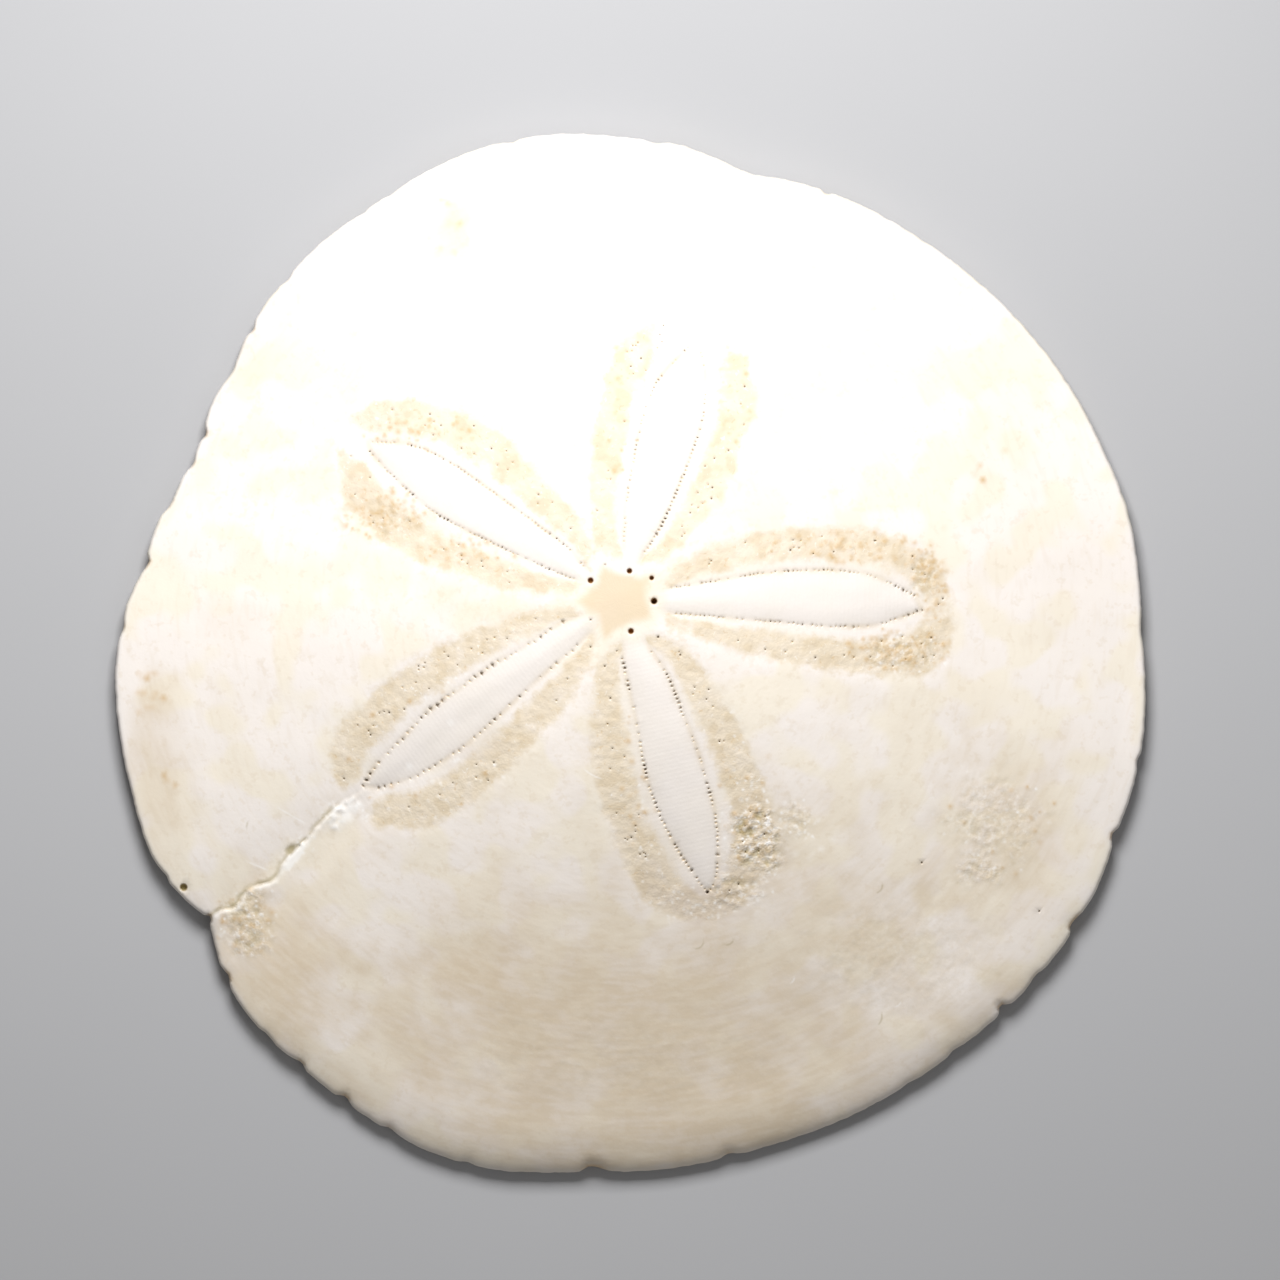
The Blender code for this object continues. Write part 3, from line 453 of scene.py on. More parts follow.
class SandDollarColours(bpy.types.PropertyGroup):
    """Colours of the shell"""

    cream: bpy.props.FloatVectorProperty(
        name="Cream", description="The shell between its stains",
        default=(0.82, 0.75, 0.64), subtype="COLOR", size=3)
    chalk: bpy.props.FloatVectorProperty(
        name="Chalk", description="Paler, cooler clouds in the shell",
        default=(0.83, 0.77, 0.72), subtype="COLOR", size=3)
    # Beige paints the stains and also the painted shade that darkens the lower half and the lower
    # rim
    beige: bpy.props.FloatVectorProperty(
        name="Beige", description="Stains on the shell",
        default=(0.655, 0.545, 0.405), subtype="COLOR", size=3)
    band: bpy.props.FloatVectorProperty(
        name="Band", description="The petals' rough bands",
        default=(0.72, 0.62, 0.48), subtype="COLOR", size=3)
    middle: bpy.props.FloatVectorProperty(
        name="Middle", description="The petals' smooth middles",
        default=(0.79, 0.735, 0.69), subtype="COLOR", size=3)
    star: bpy.props.FloatVectorProperty(
        name="Star", description="The star plate at the apex",
        default=(0.7, 0.565, 0.39), subtype="COLOR", size=3)
    ochre: bpy.props.FloatVectorProperty(
        name="Ochre", description="Orange-brown crumbs and the stained edges of chips",
        default=(0.57, 0.36, 0.14), subtype="COLOR", size=3)
    hole: bpy.props.FloatVectorProperty(
        name="Hole", description="Inside the holes round the star",
        default=(0.30, 0.13, 0.03), subtype="COLOR", size=3)
    # Olive also paints the shade along the crack and in the crusts' creases
    olive: bpy.props.FloatVectorProperty(
        name="Olive", description="The hole in the rim, the crack, its hollow, and hairs",
        default=(0.34, 0.28, 0.13), subtype="COLOR", size=3)
    pore: bpy.props.FloatVectorProperty(
        name="Pore", description="Inside the open pores",
        default=(0.16, 0.115, 0.07), subtype="COLOR", size=3)
    # Tan also tints the crusts' creases in the shader, partly as painted shade
    tan: bpy.props.FloatVectorProperty(
        name="Tan", description="Silt in filled pores, along the rows and in blotches",
        default=(0.56, 0.43, 0.25), subtype="COLOR", size=3)
    # Taupe also paints the shade on the lower-left petal's strip that faces away from the light
    taupe: bpy.props.FloatVectorProperty(
        name="Taupe", description="Dirt in the petals' hollows",
        default=(0.50, 0.405, 0.33), subtype="COLOR", size=3)
    # White also paints the highlights on the pores' lips, on the crack's bank and on the rim's edge
    white: bpy.props.FloatVectorProperty(
        name="White", description="Fresh edges and specks of calcite",
        default=(0.93, 0.91, 0.88), subtype="COLOR", size=3)


class SandDollarStage(bpy.types.PropertyGroup):
    """The floor and the lights"""

    floor_colour: bpy.props.FloatVectorProperty(
        name="Floor", description="Colour of the floor",
        default=(0.42, 0.42, 0.43), subtype="COLOR", size=3)
    key_power: bpy.props.FloatProperty(
        name="Key light", description="Power of the soft light behind the far rim",
        default=0.75, min=0.0, unit="POWER")
    fill_power: bpy.props.FloatProperty(
        name="Fill light", description="Power of the wide light overhead",
        default=0.6, min=0.0, unit="POWER")
    room_light: bpy.props.FloatProperty(
        name="Room light", description="Strength of the even light all round",
        default=0.2, min=0.0)


def smooth_step(value):
    """Ease from 0 to 1 as value goes from 0 to 1."""
    value = np.clip(value, 0.0, 1.0)
    return value * value * (3.0 - 2.0 * value)


def rim_distance(bearings):
    """Distance from the apex to the rim at each bearing, in degrees."""
    knots = np.array(RIM_KNOTS, dtype=float)
    turn = np.array((FULL_TURN, 0.0))
    knots = np.vstack((knots - turn, knots, knots + turn))
    x, y = knots[:, 0], knots[:, 1]
    slopes = np.gradient(y, x)
    bearings = np.mod(np.asarray(bearings, dtype=float), FULL_TURN)
    left = np.searchsorted(x, bearings, side="right") - 1
    width = x[left + 1] - x[left]
    t = (bearings - x[left]) / width
    return (
        (2 * t**3 - 3 * t**2 + 1) * y[left]
        + (t**3 - 2 * t**2 + t) * width * slopes[left]
        + (3 * t**2 - 2 * t**3) * y[left + 1]
        + (t**3 - t**2) * width * slopes[left + 1]
    )


def on_bearings(bearings, reach):
    """Plan positions at a distance from the apex on each bearing."""
    angles = np.radians(bearings)
    return np.column_stack((reach * np.cos(angles), reach * np.sin(angles)))


def chip_depth(bearings):
    """How far the chips and the fine wear cut into the rim at each bearing."""
    bearings = np.asarray(bearings, dtype=float)
    reach = rim_distance(bearings)
    cut = np.zeros(len(bearings))
    for bearing, depth, before, after in RIM_CHIPS:
        apart = np.mod(bearings - bearing + FULL_TURN / 2, FULL_TURN) - FULL_TURN / 2
        along = np.radians(apart) * reach
        cut += depth * np.exp(-((along / np.where(along < 0.0, before, after)) ** 2))
    around = on_bearings(bearings, reach)
    return cut + RIM_WEAR * (1.0 + wave(around, 1.1, 5.0) + 0.6 * wave(around, 0.45, 6.0))


def wave(points, length, offset):
    """A slow, seeded unevenness between about -1 and 1."""
    return np.array([
        noise.noise(Vector((x / length, y / length, offset))) for x, y in points
    ])


def ring(inset):
    """Points on the outline, moved in from the rim by inset."""
    bearings = np.arange(0.0, FULL_TURN, math.degrees(RIM_STEP / MIDDLING_REACH))
    chip = chip_depth(bearings) * (1.0 - smooth_step(inset / CHIP_RUN))
    return on_bearings(bearings, rim_distance(bearings) - inset - chip)


def polar(points):
    """Distance from the apex, how far in from the rim, that as a share, and the chips."""
    reach = np.hypot(points[:, 0], points[:, 1])
    bearings = np.degrees(np.arctan2(points[:, 1], points[:, 0]))
    rim = rim_distance(bearings)
    chip = chip_depth(bearings)
    inset = rim - reach
    inset = inset - chip * (1.0 - smooth_step((inset - chip) / CHIP_RUN))
    return reach, inset, np.clip(reach / rim, 0.0, 1.0), chip


def slope_share(points):
    """The share of the edge's rise that its rounded slope takes."""
    knots = np.array(SLOPE_KNOTS)
    bearings = np.degrees(np.arctan2(points[:, 1], points[:, 0]))
    return np.interp(bearings, knots[:, 0], knots[:, 1], period=FULL_TURN)


def edge_lift(inset, run, power):
    """The rounding of an edge: 0 on the rim, rising to 1 at the end of its run."""
    edge = 1.0 - np.clip(inset / run, 0.0, 1.0)
    return (1.0 - edge**power) ** (1.0 / power)


def edge_height(points, inset):
    """Height of the upper surface's edge, from the nose of the rim to its full rise."""
    share = slope_share(points)
    nose = NOSE_HEIGHT - NOSE_DROP * share
    lift = (1.0 - share) * edge_lift(inset, EDGE_RUN, EDGE_POWER)
    lift += share * edge_lift(inset, SLOPE_RUN, ROUND_POWER)
    return nose + (EDGE_TOP - nose) * lift


def under_edge_height(points, inset):
    """Height of the underside's rounded edge, from the nose of the rim down to the floor."""
    nose = NOSE_HEIGHT - NOSE_DROP * slope_share(points)
    return nose * (1.0 - edge_lift(inset, UNDER_RUN, ROUND_POWER))


def curve_through(knots, step, closed=False):
    """Points about step apart on a smooth curve through the knots."""
    knots = [Vector((x, y)) for x, y in knots]
    count = len(knots)
    spans = count if closed else count - 1
    points = []
    for i in range(spans):
        if closed:
            before, start, end, after = (knots[(i + k) % count] for k in (-1, 0, 1, 2))
        else:
            start, end = knots[i], knots[i + 1]
            before = knots[i - 1] if i > 0 else start * 2 - end
            after = knots[i + 2] if i + 2 < count else end * 2 - start
        pieces = max(1, round((end - start).length / step))
        for k in range(pieces):
            t = k / pieces
            points.append(0.5 * (
                2 * start + (end - before) * t
                + (2 * before - 5 * start + 4 * end - after) * t**2
                + (3 * start - before - 3 * end + after) * t**3
            ))
    if not closed:
        points.append(knots[-1])
    return np.array(points)


def turned(points, bearing):
    """Turn (along, across) points onto a bearing, as plan positions."""
    angle = math.radians(bearing)
    along, across = points[:, 0], points[:, 1]
    return np.column_stack((
        along * math.cos(angle) - across * math.sin(angle),
        along * math.sin(angle) + across * math.cos(angle),
    ))


def evenly_spaced(line, step):
    """Points at equal steps along a line of points."""
    lengths = np.concatenate(([0.0], np.cumsum(np.hypot(*np.diff(line, axis=0).T))))
    places = np.linspace(0.0, lengths[-1], max(2, round(lengths[-1] / step) + 1))
    return np.column_stack([np.interp(places, lengths, line[:, k]) for k in (0, 1)])


def beside(line, distance):
    """The line moved sideways to its left."""
    run = np.gradient(line, axis=0)
    run /= np.hypot(run[:, 0], run[:, 1])[:, None]
    return line + distance * np.column_stack((-run[:, 1], run[:, 0]))


def distance_to_line(points, line):
    """Distance from each point to a line of points."""
    return np.abs(side_of_line(points, line))


def side_of_line(points, line):
    """Signed distance to a line: positive on the left of its direction."""
    sign = np.zeros(len(points))
    nearest = np.full(len(points), np.inf)
    for start, end in zip(line[:-1], line[1:]):
        run = end - start
        t = np.clip(((points - start) @ run) / max(run @ run, 1e-12), 0.0, 1.0)
        away = points - start - t[:, None] * run
        reach = np.hypot(away[:, 0], away[:, 1])
        closer = reach < nearest
        cross = run[0] * away[:, 1] - run[1] * away[:, 0]
        sign = np.where(closer, np.where(cross >= 0, 1.0, -1.0), sign)
        nearest = np.minimum(nearest, reach)
    return sign * nearest


def depth_inside(points, loop):
    """Distance in from a closed loop, negative outside it."""
    closed = np.vstack((loop, loop[:1]))
    x, y = points[:, 0], points[:, 1]
    inside = np.zeros(len(points), dtype=bool)
    for (x0, y0), (x1, y1) in zip(closed[:-1], closed[1:]):
        if y0 == y1:
            continue
        crosses = (y0 > y) != (y1 > y)
        inside ^= crosses & (x < x0 + (y - y0) * (x1 - x0) / (y1 - y0))
    return np.where(inside, 1.0, -1.0) * distance_to_line(points, closed)


def distance_to(points, place):
    """Distance from each point to one place."""
    return np.hypot(*(points - place).T)


def ellipse_share(points, x, y, reach_x, reach_y, turn=0.0):
    """1 at the centre of an ellipse, turned or not, 0 on its edge, negative outside."""
    local = turned(points - (x, y), -turn)
    return 1.0 - np.hypot(local[:, 0] / reach_x, local[:, 1] / reach_y)


def petal_lines(petal):
    """A petal's outer edge, its two pore rows and its middle zone, as plan positions."""
    edge, left, right = (
        turned(curve_through(petal[line], LINE_STEP, closed=line == "edge"), petal["bearing"])
        for line in ("edge", "left", "right")
    )
    return edge, left, right, np.vstack(((0.0, 0.0), left, right[::-1]))


def star_outline():
    """The star's tips with a waist point between each two."""
    tips = sorted(STAR_TIPS, key=lambda tip: math.atan2(tip[1], tip[0]))
    points = []
    for tip, following in zip(tips, tips[1:] + tips[:1]):
        waist = (Vector(tip) + Vector(following)) / 2 * STAR_WAIST_SHARE
        points += [tip, tuple(waist)]
    return np.array(points)


def row_pores(row, habit, sizes, scatter):
    """The pores of one row: slits set across it, here open and there filled."""
    open_share, pitch, size_share = habit
    places = evenly_spaced(row, pitch)
    run = np.gradient(places, axis=0)
    phase = scatter.uniform(0.0, 100.0)
    pores = []
    for index, ((x, y), (run_x, run_y)) in enumerate(zip(places, run)):
        dark = open_share + 1.1 * noise.noise(Vector((index / PORE_RUN, phase, 0.0)))
        dark = min(1.0, max(0.0, dark + scatter.uniform(-0.4, 0.4)))
        if scatter.random() < 0.45 - dark:
            continue
        size = sizes.pore_radius / MM * size_share * (0.7 + 0.4 * dark) * scatter.uniform(0.8, 1.2)
        off_x, off_y = (scatter.uniform(-PORE_STRAY, PORE_STRAY) * pitch for _ in range(2))
        pores.append(Pore(
            x + off_x, y + off_y,
            math.atan2(run_y, run_x) + math.pi / 2 + scatter.uniform(-PORE_TURN, PORE_TURN),
            size * scatter.uniform(*PORE_LONG), size * scatter.uniform(*PORE_SHORT),
            sizes.pore_depth / MM * (0.3 + 0.7 * dark), dark,
        ))
    return pores


def petal_pores(petal, name, sizes):
    """Every pore of a petal: its two rows, and the loose ones in its outer bands."""
    scatter = random.Random(f"{SEED} pores {name}")
    edge, left, right, middle = petal_lines(petal)
    pores = []
    for row, habit in zip((left, right), petal["rows"]):
        pores += row_pores(row, habit, sizes, scatter)
    low, high = edge.min(axis=0), edge.max(axis=0)
    tries = np.array([
        (scatter.uniform(low[0], high[0]), scatter.uniform(low[1], high[1]))
        for _ in range(OUTER_PORE_TRIES)
    ])
    in_band = (depth_inside(tries, edge) > 0.35) & (depth_inside(tries, middle) < -1.5)
    for x, y in tries[in_band][:OUTER_PORES]:
        dark = scatter.uniform(0.2, 1.0)
        size = scatter.uniform(*OUTER_PORE_RADII)
        pores.append(Pore(x, y, 0.0, size, size, sizes.pore_depth / MM * 0.6, dark))
    return pores


def painted_highlight_of(pore):
    """The painted highlight on the pore's sunlit lower lip."""
    return pore._replace(
        y=pore.y - (PAINTED_HIGHLIGHT_DROP + pore.half_short), turn=0.0,
        half_long=PAINTED_HIGHLIGHT_HALF_LONG, half_short=PAINTED_HIGHLIGHT_HALF_SHORT, depth=0.0,
    )


def pore_share(points, pore):
    """Distance from a pore's middle, as a share of its half width."""
    x, y = points[:, 0] - pore.x, points[:, 1] - pore.y
    along = x * math.cos(pore.turn) + y * math.sin(pore.turn)
    across = y * math.cos(pore.turn) - x * math.sin(pore.turn)
    return np.hypot(along / pore.half_long, across / pore.half_short)


def petal_layers(points, sizes):
    """The petals' relief, and masks for their bands, middles, strips, rows, pores and the painted
    highlights on the pores' lips.
    """
    names = ("height", "band", "middle", "strip", "row", "pore", "filled", "painted_highlight", "along")
    layers = {name: np.zeros(len(points)) for name in names}
    wobble = wave(points, 1.5, 3.0)
    grain = wave(points, 0.6, 4.0)
    blush = smooth_step(0.5 + wave(points, 3.0, 17.0))
    patchy = wave(points, 2.4, 21.0) + 0.5 * wave(points, 0.9, 22.0)
    close = np.flatnonzero(distance_to(points, (0.0, 0.0)) < PETAL_REACH)
    for name, petal in PETALS.items():
        edge, _, _, middle_line = petal_lines(petal)
        from_edge = depth_inside(points[close], edge)
        near = close[from_edge > -BAND_SHOULDER]
        local = points[near]
        from_edge = from_edge[from_edge > -BAND_SHOULDER] + EDGE_WOBBLE * wobble[near]
        from_rows = depth_inside(local, middle_line)
        along, across = turned(local, -petal["bearing"]).T
        tip_start, tip_across, tip_reach, tip_strength = petal["tip"]
        tip = smooth_step((along - tip_start) / 2.0) * tip_strength
        tip *= smooth_step(1.4 * (1.0 - np.abs(across - tip_across) / tip_reach))
        inside = smooth_step(from_edge / BAND_SHOULDER + 0.65)
        swell = smooth_step((from_rows + 0.3) / MIDDLE_SHOULDER)
        middle = smooth_step((from_rows + 0.15) / 0.3) * inside
        outward = np.maximum(-from_rows, 0.0)
        share = outward / np.maximum(outward + np.maximum(from_edge, 0.0), 0.1)
        band = inside * smooth_step((share + 0.12 * wobble[near] - STRIP_SHARE) / STRIP_FADE)
        band *= (1.0 - tip) * np.clip(1.0 + 0.3 * patchy[near], 0.75, 1.08)
        strip = inside * (1.0 - middle) * (1.0 - band)
        on_row = np.exp(-((from_rows / ROW_HALF_WIDTH) ** 2)) * inside
        row = on_row * (0.3 + 0.7 * blush[near])
        relief = -sizes.band_depth / MM * inside * (1.0 - swell) * (1.0 - tip)
        relief += sizes.middle_rise / MM * swell
        relief += BAND_GRAIN_HEIGHT * grain[near] * band - ROW_GROOVE_DEPTH * on_row
        for pore in petal_pores(petal, name, sizes):
            reach = pore_share(local, pore)
            relief -= pore.depth * np.clip(1.0 - reach**2, 0.0, 1.0)
            spot = smooth_step((1.35 - reach) / 0.8)
            opened = smooth_step((pore.dark - 0.4) / 0.5)
            # A painted highlight on the pore's lower lip, the side that faces the light
            lit = smooth_step((1.3 - pore_share(local, painted_highlight_of(pore))) / 0.8)
            for layer, mask, strength in (
                ("pore", spot, opened), ("filled", spot, 1.0 - opened),
                ("painted_highlight", lit, 0.3 + 0.7 * pore.dark),
            ):
                target = layers[layer]
                target[near] = np.maximum(target[near], mask * strength)
        layers["along"][near] = along
        layers["height"][near] += relief
        for layer, values in (("band", band), ("middle", middle), ("strip", strip), ("row", row)):
            layers[layer][near] = np.maximum(layers[layer][near], values)
    return layers


def crack_layers(points, sizes):
    """The crack's relief, the painted shade along its north-west side, the pale edge of its bank
    (partly a painted highlight), and its hollow.
    """
    line = curve_through(CRACK, CRACK_STEP)
    side = side_of_line(points, line) + CRACK_WOBBLE * wave(points, 0.7, 7.0)
    apart = np.abs(side)
    lumps = wave(points, 0.55, 8.0)
    patchy = smooth_step(0.6 + 1.3 * wave(points, 1.6, 18.0))
    opening = smooth_step(distance_to(points, CRACK[0]) / CRACK_OPENING - 0.3)
    cut = smooth_step(1.0 - apart / CRACK_HALF_WIDTH) * (0.25 + 0.75 * patchy) * opening
    bank = smooth_step(1.0 - apart / CRACK_BANK_REACH) * smooth_step(side / 0.45 + 0.4)
    bank *= 0.3 + 0.7 * opening
    rubble = smooth_step(1.6 * ellipse_share(points, *CRACK_RUBBLE) + 0.8 * lumps)
    white = smooth_step(2.0 * ellipse_share(points, *CRACK_WHITE) + 0.6 * lumps) * (side > 0)
    hollow = smooth_step(1.8 * ellipse_share(points, *CRACK_HOLLOW) + 0.3)
    height = sizes.bank_rise / MM * bank - sizes.crack_depth / MM * cut
    height += 0.06 * lumps * smooth_step(1.0 - apart) + (0.04 + 0.14 * lumps) * rubble
    height -= CRACK_HOLLOW_DEPTH * hollow
    # Painted shadow along the crack's north-west side
    shade = smooth_step(1.0 - np.abs(side + 0.2) / 0.34) * (0.6 + 0.4 * patchy) * opening
    # The far bank's lip is pale partly by its own white and partly as a painted highlight where it
    # faces the light
    lip_and_highlight = smooth_step(1.0 - np.abs(side - 0.22) / 0.4) * (0.25 + 0.4 * patchy) * opening
    lip_and_highlight = np.maximum(lip_and_highlight, np.maximum(rubble * (0.7 + 1.0 * lumps), white))
    return height, shade, np.clip(lip_and_highlight, 0.0, 1.0), hollow


def crust_layers(points):
    """The crusty patches: relief, mask, orange crumbs and the painted shade in their creases."""
    crust = np.zeros(len(points))
    breakup = 0.3 * wave(points, 2.2, 9.0) + 0.2 * wave(points, 0.8, 10.0)
    for x, y, reach_x, reach_y, strength in CRUSTS:
        share = ellipse_share(points, x, y, reach_x, reach_y)
        crust = np.maximum(crust, strength * smooth_step((share + breakup) * 1.5))
    bent = points + 0.5 * np.column_stack((wave(points, 1.3, 23.4), wave(points, 1.3, 24.6)))
    ridges = 1.0 - 3.2 * np.abs(wave(bent, 0.9, 11.37))
    lumps = np.clip(0.8 * ridges + 0.7 * wave(points, 0.5, 12.61) - 0.2, -1.0, 1.0)
    orange = crumb_mask(points, ORANGE_CRUMBS, CRUMB_RADII)
    # Painted shade in the creases of the crusts' relief
    painted_crease_shade = np.clip(-1.4 * lumps, 0.0, 1.0) * crust
    return CRUST_HEIGHT * lumps * crust + CRUMB_HEIGHT * orange, crust, orange, painted_crease_shade


def crumb_mask(points, patches, radii):
    """Crumbs of mixed size and strength, scattered over round patches."""
    mask = np.zeros(len(points))
    scatter = random.Random(f"{SEED} crumbs")
    for x, y, reach_x, reach_y, count in patches:
        near = np.flatnonzero(ellipse_share(points, x, y, reach_x + 1, reach_y + 1) > 0.0)
        for _ in range(count):
            angle = scatter.uniform(0.0, 2.0 * math.pi)
            out = scatter.random() ** 0.7
            centre = (x + reach_x * out * math.cos(angle), y + reach_y * out * math.sin(angle))
            away = distance_to(points[near], centre) / scatter.uniform(*radii)
            mask[near] = np.maximum(mask[near], np.exp(-(away**2)) * scatter.uniform(0.4, 1.0))
    return mask


def scratch_line(x, y, length, turn, bend):
    """Points along a scratch or a hair."""
    along = np.linspace(-0.5, 0.5, SCRATCH_KNOTS)
    line = np.column_stack((along * length, bend * (4.0 * along**2 - 0.5)))
    return turned(line, turn) + (x, y)


def scratch_mask(points, scratches):
    """Thin lines that fade towards their ends."""
    mask = np.zeros(len(points))
    for scratch in scratches:
        x, y, length, _, _ = scratch
        out = distance_to(points, (x, y)) / length
        near = np.flatnonzero(out < 1.0)
        apart = distance_to_line(points[near], scratch_line(*scratch)) / SCRATCH_WIDTH
        line = smooth_step(1.5 - apart) * smooth_step(3.0 - 5.0 * out[near])
        mask[near] = np.maximum(mask[near], line)
    return mask


def hole_layers(points):
    """The round holes and pits: relief, brown and olive masks, and how dark the pits are."""
    layers = {name: np.zeros(len(points)) for name in ("height", "hole", "olive", "pit")}
    for x, y, radius, depth, tone in HOLES:
        share = distance_to(points, (x, y)) / radius
        layers["height"] -= depth * smooth_step((1.12 - share) / 0.5)
        spot = smooth_step((1.1 - share) / 0.25)
        layers["hole"] = np.maximum(layers["hole"], spot)
        layers["olive"] += tone * smooth_step((1.5 - share) / 0.2)
    for x, y, radius, depth, dark in PITS:
        share = distance_to(points, (x, y)) / radius
        layers["height"] -= depth * np.clip(1.0 - share**2, 0.0, 1.0)
        layers["pit"] = np.maximum(layers["pit"], dark * smooth_step((1.3 - share) / 0.5))
    return layers


def patch_mask(points, patches, sharpness):
    """How strongly a set of soft, uneven patches covers each point."""
    clear = np.ones(len(points))
    breakup = 0.32 * wave(points, 6.0, 13.0) + 0.22 * wave(points, 2.0, 14.0)
    for x, y, reach_x, reach_y, strength in patches:
        share = ellipse_share(points, x, y, reach_x, reach_y)
        clear *= 1.0 - strength * smooth_step((share + breakup) * sharpness)
    return 1.0 - clear


def stain_and_shade_mask(points):
    """How strongly the beige stains, and the painted shade laid with them, colour each point."""
    return patch_mask(points, STAINS_AND_SHADE, 1.1) * (1.0 - patch_mask(points, PALE_PATCHES, 2.0))


def growth_places(points, reach):
    """Places for growth streaks: fine steps outward, long ones round the shell."""
    unit = points / np.maximum(reach, 1.0)[:, None]
    return np.column_stack((unit * STREAKS_ROUND, reach * STREAKS_OUTWARD))


def chip_mask(chip, inset):
    """Where the deeper chips show their stained edges."""
    deep = smooth_step((chip - STAINED_CHIP) / STAINED_CHIP)
    return deep * (1.0 - smooth_step(inset / 0.7))


def grit_at(points):
    """A number between 0 and 1 for each point, for single grains."""
    return np.random.default_rng(SEED).random(len(points))


def top_layers(points, sizes):
    """Height and colour masks of the upper surface."""
    reach, inset, share, chip = polar(points)
    height = edge_height(points, inset)
    height += DOME_HEIGHT * (
        DOME_ROUND_SHARE * (1.0 - share**2)
        + (1.0 - DOME_ROUND_SHARE) * 0.5 * (1.0 + np.cos(math.pi * share))
    )
    calm = smooth_step(inset / CALM_RUN)
    for rise, length, seed in SURFACE_WAVES:
        height += rise * wave(points, length, seed) * calm
    layers = petal_layers(points, sizes)
    crack, shade, lip_and_highlight, hollow = crack_layers(points, sizes)
    holes = hole_layers(points)
    crust, crust_mask, orange, painted_crease_shade = crust_layers(points)
    edge_fade = smooth_step(inset / 0.8)
    layers["height"] += height + holes["height"] + (crack + crust) * edge_fade
    layers["pore"] = np.maximum(layers["pore"], holes["pit"])
    layers["hole"] = holes["hole"]
    layers["olive hole"] = holes["hole"] * np.clip(holes["olive"], 0.0, 1.0)
    # Dirt, and painted shade where the lower-left petal's strip faces away from the light
    layers["dirt_and_shade"] = patch_mask(points, DIRT_AND_SHADE, 1.4) * (1.0 - 0.8 * layers["middle"])
    layers["hair"] = scratch_mask(points, OLIVE_HAIRS)
    layers["speck"] = np.maximum(
        crumb_mask(points, WHITE_SPECKS, SPECK_RADII),
        0.55 * scratch_mask(points, WHITE_SCRATCHES))
    layers["star"] = smooth_step(
        (depth_inside(points, star_outline()) + 0.3 * wave(points, 1.3, 19.0))
        / STAR_SHOULDER + 0.5)
    # The rim's edge is painted paler: partly its own pale colour, partly a painted highlight that
    # lifts the shading of the edge
    layers["lip_and_highlight"] = np.maximum(lip_and_highlight * (1.0 - hollow), 0.35 * smooth_step(1.0 - inset / 0.9))
    # The shade layer: painted shade along the crack and in the crusts' creases, and the olive of the
    # crack's hollow
    layers["shade"] = np.maximum.reduce((shade, 1.3 * hollow, painted_crease_shade))
    layers["crust"] = crust_mask
    layers["orange"] = orange * (1.0 - layers["middle"])
    layers["stain_and_shade"] = stain_and_shade_mask(points)
    layers["chip"] = chip_mask(chip, inset)
    layers["grit"] = grit_at(points)
    layers["height"] += GRIT_HEIGHT * (layers["grit"] - 0.5) * layers["band"]
    layers["inset"] = inset
    layers["reach"] = reach
    return layers


def vent_place():
    """Where the small round vent opens on the underside."""
    return on_bearings([VENT_BEARING], rim_distance([VENT_BEARING]) - VENT_FROM_RIM)[0]


def under_layers(points):
    """Height and colour masks of the underside."""
    reach, inset, _, chip = polar(points)
    height = under_edge_height(points, inset)
    inner = np.clip((inset - FLAT_RING_INNER) / (MIDDLING_REACH - FLAT_RING_INNER), 0.0, 1.0)
    height += HOLLOW_DEPTH * inner**HOLLOW_POWER
    height += MOUTH_DEPTH * smooth_step(1.0 - (reach - MOUTH_RADIUS) / MOUTH_SLOPE)
    groove = np.zeros(len(points))
    for petal in PETALS.values():
        end = rim_distance([petal["bearing"]])[0] * GROOVE_REACH_SHARE
        line = turned(np.array(((MOUTH_RADIUS, 0.0), (end, 0.0))), petal["bearing"])
        fade = smooth_step((end - reach) / (end / 2))
        apart = distance_to_line(points, line) + GROOVE_WANDER * wave(points, 3.0, 16.0)
        groove = np.maximum(groove, fade * smooth_step(1.0 - apart / GROOVE_HALF_WIDTH))
    height += GROOVE_DEPTH * groove
    vent = distance_to(points, vent_place()) / VENT_RADIUS
    vent_hole = smooth_step(2.0 * (1.0 - vent))
    height += VENT_DEPTH * vent_hole
    deep = smooth_step((MOUTH_RADIUS * 0.8 - reach) / 1.0)
    masks = [*LAYER_NAMES, *(name for name, _, _ in OVERLAYS)]
    layers = {name: np.zeros(len(points)) for name in masks}
    layers.update({
        "height": height, "band": 0.6 * groove, "hole": np.maximum(deep, vent_hole * 0.6),
        "stain_and_shade": 0.6 * stain_and_shade_mask(points), "inset": inset, "reach": reach,
        "chip": chip_mask(chip, inset), "grit": grit_at(points),
    })
    return layers


def overlay(values, colours):
    """The colours of the masks laid over one another, and how much they cover."""
    paint = np.zeros((len(values["height"]), 4))
    for name, strength, colour in OVERLAYS:
        share = np.clip(strength * values[name], 0.0, 1.0)[:, None]
        paint = paint * (1.0 - share) + share * np.append(getattr(colours, colour), 1.0)
    return paint


def ring_round(pore, share, sides):
    """Points round a pore's ellipse."""
    angles = np.arange(sides) * 2.0 * math.pi / sides
    flat = np.column_stack((
        np.cos(angles) * pore.half_long * share, np.sin(angles) * pore.half_short * share))
    return turned(flat, math.degrees(pore.turn)) + (pore.x, pore.y)


def pit_points(pores, sides, shares):
    """A middle and rings for each pore."""
    points = [np.array([(pore.x, pore.y) for pore in pores])]
    for pore in pores:
        for share in shares:
            points.append(ring_round(pore, share, sides))
    return np.vstack(points)


